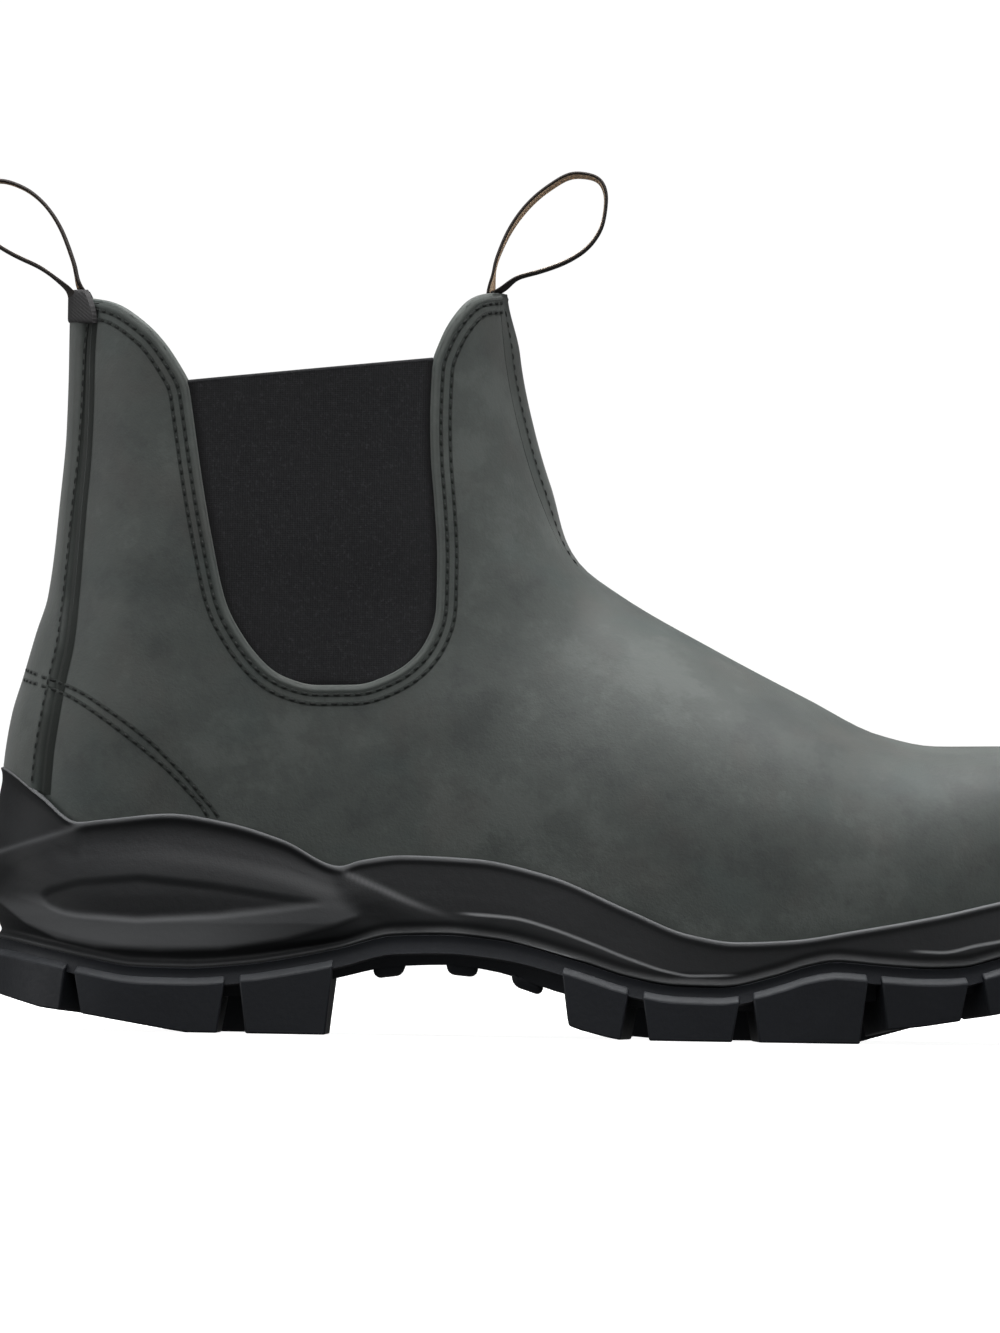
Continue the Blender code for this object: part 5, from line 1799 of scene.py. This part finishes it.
class BOOT_OT_outsole(bpy.types.Operator):
    """Outsole: a slab under the midsole, lugs round its edge and along its middle, arch bars"""

    bl_idname = "boot.outsole"
    bl_label = "Outsole"

    def execute(self, context):
        sizes = context.scene.boot_sizes
        shares = spread(sizes.columns + 1)
        seat = ring_of(level_path(seat_z), shares)
        profile = (
            (SLAB_UNDERCUT + LUG_BITE, groove_z, 0.0),
            (SLAB_UNDERCUT, ledge_z, -LUG_BITE),
            (LUG_STEP, ledge_z, -LUG_BITE / 2),
            (LUG_STEP + 0.5 * MM, ledge_z, LEDGE_DROP * 0.45),
            (LUG_STEP + 0.4 * MM, ledge_z, LEDGE_DROP * 0.75),
            (LUG_STEP, band_z, -CLEARANCE),
            (LUG_STEP + BAND_STEP + 1.5 * MM, band_z, 0.0),
        )
        rings = np.array([
            set_height(sole_outline(seat, inset), height, by) for inset, height, by in profile
        ])
        made = to_mesh("outsole_rubber", rings, stack_faces(rings), [tread_finish()], angle=35)
        round_edges(made, 0.35 * MM, 2)
        dress(made, "outsole", "outsole")
        self.lugs(seat, sizes)
        return {"FINISHED"}

    def lugs(self, seat, sizes):
        """Edge lugs, middle lugs and arch bars, each closed, joined in two meshes."""
        edge = set_height(sole_outline(seat, 0), ledge_z)[:, :2]
        half = len(edge) // 2
        outer = edge[: half + 1]
        inner = np.vstack([edge[:1], edge[: half - 1: -1]])
        bodies = [
            self.edge_lug(outline, first, last, LUG_DEPTH * share, sizes.ledge)
            for outline in (outer, inner)
            for first, last, share in EDGE_LUGS
        ]
        for first, last, width in MIDDLE_LUGS:
            centre = LAST_BALL_WIDTH * swing_at((first + last) / 2)
            reach = LAST_BALL_WIDTH * width
            bodies.append(self.block(
                LAST_LENGTH * first, LAST_LENGTH * last, centre - reach, centre + reach, tread_z
            ))
        bars = []
        for station in ARCH_BARS:
            x = LAST_LENGTH * station
            near = np.interp(x, outer[:, 0], outer[:, 1]) + ARCH_BAR_INSET
            far = np.interp(x, inner[:, 0], inner[:, 1]) - ARCH_BAR_INSET
            bars.append(self.block(
                x - ARCH_BAR_LENGTH / 2, x + ARCH_BAR_LENGTH / 2, near, far,
                lambda at: groove_z(at) - ARCH_BAR_DROP,
            ))
        self.join("lugs", bodies, 0.45 * MM, 2)
        self.join("arch_bars", bars, 1.6 * MM, 4)

    def join(self, name, bodies, rounding, segments):
        """One mesh from closed bodies given as sections. The second strip of a lug is its ledge."""
        parts, slots = [], []
        for grid in bodies:
            rows, count = grid.shape[:2]
            quads = tube_faces(rows, count)
            parts.append((grid, quads))
            # The ledge strips take the lighter finish, a painted highlight.
            ledge = (np.arange(len(quads) - 2) % count == 1) & (count > 4)
            slots += [*ledge.tolist(), False, False]
        finishes = [tread_finish(), ledge_highlight_finish()]
        made = to_mesh(name, *joined(parts), finishes, np.array(slots), angle=35)
        face_outwards(made)
        round_edges(made, rounding, segments)
        dress(made, "outsole")

    def edge_lug(self, outline, first, last, depth, slope):
        """Sections of one lug across the sole's edge, wider at its ledge than at its tread."""
        reach = reach_of(outline)
        ahead = np.gradient(outline, axis=0)
        inward = np.stack([-ahead[:, 1], ahead[:, 0]], 1) / np.linalg.norm(ahead, axis=1)[:, None]
        inward *= np.sign(outline[0, 1] - outline[len(outline) // 2, 1])
        start, end = np.interp([LAST_LENGTH * first, LAST_LENGTH * last], outline[:, 0], reach)
        start, end = max(start, CENTRE_GROOVE), min(end, reach[-1] - CENTRE_GROOVE)
        count = 2 + int((end - start) / (LUG_STATION / 2))
        share = np.linspace(0, 1, count)
        tread = start + (end - start) * share
        ledge = tread + LUG_TAPER * (2 * share - 1)

        def place(at, inset):
            xy = np.stack([np.interp(at, reach, outline[:, k]) for k in (0, 1)], 1)
            turn = np.stack([np.interp(at, reach, inward[:, k]) for k in (0, 1)], 1)
            return xy + inset * turn

        corners = [
            (place(tread, LUG_LEAN), tread_z, 0.0),
            (place(ledge, 0.0), ledge_z, 0.0),
            (place(ledge, LUG_STEP + 0.5 * MM), ledge_z, slope),
            (place(ledge, LUG_ROOT), ledge_z, slope),
            (place(ledge, depth + LUG_TAPER), groove_z, LUG_BITE),
            (place(tread, depth), tread_z, 0.0),
        ]
        return np.stack([
            np.column_stack([xy, height(xy[:, 0]) + by]) for xy, height, by in corners
        ], 1)

    def block(self, first, last, near, far, bottom):
        """Two sections of a lug or bar under the middle of the sole."""
        taper = LUG_TAPER / 2
        sections = []
        for share, x in ((0, first), (1, last)):
            over = x + taper * (2 * share - 1)
            top = groove_z(over) + LUG_BITE
            sections.append([
                (x, near, bottom(x)), (over, near - taper, top),
                (over, far + taper, top), (x, far, bottom(x)),
            ])
        return np.array(sections, float)


class BOOT_OT_footbed(bpy.types.Operator):
    """Footbed: rings inside the foot of the upper, closed across at the bottom and the top"""

    bl_idname = "boot.footbed"
    bl_label = "Footbed"

    def execute(self, context):
        sizes = context.scene.boot_sizes
        gap, thick = 0.6 * MM, 4.0 * MM
        seat = ring_of(level_path(seat_z), spread(sizes.columns + 1))
        low = set_height(grow(seat, -sizes.wall - gap), seat_z, 0)
        high = set_height(grow(low, -gap), seat_z, thick)
        top = set_height(grow(high, -1.0 * MM), seat_z, thick + 0.15 * MM)
        rings = np.array([low, high, top])
        made = to_mesh("footbed", rings, stack_faces(rings), [footbed_finish()])
        dress(made, "footbed", "insole")
        return {"FINISHED"}


# Stage


# Where the camera stands along the boot, and how far it is rolled, in degrees.
CAMERA_ALONG = -14.4 * MM
CAMERA_ROLL = -0.95
# The floor and the white dome, in metres.
FLOOR_REACH = 14.0
FLOOR_HEIGHT = -0.0002
DOME_RADIUS = 13.0
# Lamps: name, place in metres, turn in degrees, size in metres and power in watts.
LAMPS = (
    ("above", (0.04, -0.03, 1.3), (1, 0, 0), 1.0, 42.0),
    ("toe", (1.5, -0.4, 0.8), (63, 0, 76), 0.8, 6.5),
    ("front", (-0.25, -1.5, 1.3), (50, 0, -8), 1.2, 18.0),
    ("heel", (-1.4, -0.25, 0.2), (87, 0, -79), 0.7, 10.0),
)


class BOOT_OT_stage(bpy.types.Operator):
    """Stage: the camera at the photograph's angle, a pale floor and soft lights"""

    bl_idname = "boot.stage"
    bl_label = "Camera, floor and lights"

    def execute(self, context):
        scene = context.scene
        camera = bpy.data.cameras.new("camera")
        camera.sensor_fit = "VERTICAL"
        away, side, height, middle, field = 6.0, 0.012, 0.075, 0.0936, 0.3375
        camera.angle_y = 2 * math.atan(field / 2 / (away - side))
        camera.shift_y = (middle - height) / field
        camera.clip_end = 60
        holder = placed("camera", camera)
        holder.location = (CAMERA_ALONG, -away, height)
        holder.rotation_euler = (math.radians(90), math.radians(CAMERA_ROLL), 0)
        scene.camera = holder

        floor = self.floor()
        backdrop = self.backdrop()
        for ray in ("visible_diffuse", "visible_glossy", "visible_shadow", "visible_transmission"):
            setattr(backdrop, ray, False)
        floor.visible_diffuse = False
        floor.visible_glossy = False
        for name, place, turn, wide, power in LAMPS:
            lamp = bpy.data.lights.new(name, "AREA")
            lamp.size = wide
            lamp.energy = power
            made = placed(name, lamp)
            made.location = place
            made.rotation_euler = [math.radians(a) for a in turn]

        world = bpy.data.worlds.new("studio")
        world.use_nodes = True
        world.node_tree.nodes["Background"].inputs["Color"].default_value = (1, 1, 1, 1)
        world.node_tree.nodes["Background"].inputs["Strength"].default_value = 0.16
        scene.world = world
        scene.view_settings.view_transform = "Standard"
        return {"FINISHED"}

    def floor(self):
        """A square just under the boot."""
        corners = ((-1, -1), (1, -1), (1, 1), (-1, 1))
        points = [(a * FLOOR_REACH, b * FLOOR_REACH, FLOOR_HEIGHT) for a, b in corners]
        return self.surface("floor", points, [(0, 1, 2, 3)], floor_finish())

    def backdrop(self):
        """A dome round the boot: radius * (cos u cos v, sin u cos v, sin v), seen from inside."""
        around, up = 48, 12
        turn = np.linspace(0, 2 * np.pi, around, endpoint=False)
        u, v = np.meshgrid(turn, np.linspace(-0.05, 0.5, up) * np.pi)
        dome = DOME_RADIUS * np.stack([np.cos(u) * np.cos(v), np.sin(u) * np.cos(v), np.sin(v)], -1)
        faces = grid_faces(up, around, wrap_columns=True).tolist()
        return self.surface("backdrop", dome.reshape(-1, 3), faces, backdrop_finish())

    def surface(self, name, points, faces, material):
        mesh = bpy.data.meshes.new(name)
        mesh.from_pydata(points, [], faces)
        mesh.materials.append(material)
        return placed(name, mesh)


class BOOT_PT_panel(bpy.types.Panel):
    """Sizes, colours and steps of the boot"""

    bl_idname = "BOOT_PT_panel"
    bl_label = "Side gore work boot"
    bl_space_type = "VIEW_3D"
    bl_region_type = "UI"
    bl_category = "Boot"

    def draw(self, context):
        for group in (context.scene.boot_sizes, context.scene.boot_colours):
            box = self.layout.box()
            for name in group.__annotations__:
                box.prop(group, name)
        for step in STEPS:
            self.layout.operator(step.bl_idname)


STEPS = (
    BOOT_OT_upper,
    BOOT_OT_elastic,
    BOOT_OT_strips,
    BOOT_OT_stitches,
    BOOT_OT_loops,
    BOOT_OT_midsole,
    BOOT_OT_outsole,
    BOOT_OT_footbed,
    BOOT_OT_stage,
)
CLASSES = (BootSizes, BootColours, *STEPS, BOOT_PT_panel)


def register():
    for made in CLASSES:
        bpy.utils.register_class(made)
    bpy.types.Scene.boot_sizes = PointerProperty(type=BootSizes)
    bpy.types.Scene.boot_colours = PointerProperty(type=BootColours)


def unregister():
    del bpy.types.Scene.boot_sizes
    del bpy.types.Scene.boot_colours
    for made in reversed(CLASSES):
        bpy.utils.unregister_class(made)


def main():
    register()
    for step in STEPS:
        group, name = step.bl_idname.split(".")
        getattr(getattr(bpy.ops, group), name)()


if __name__ == "__main__":
    main()
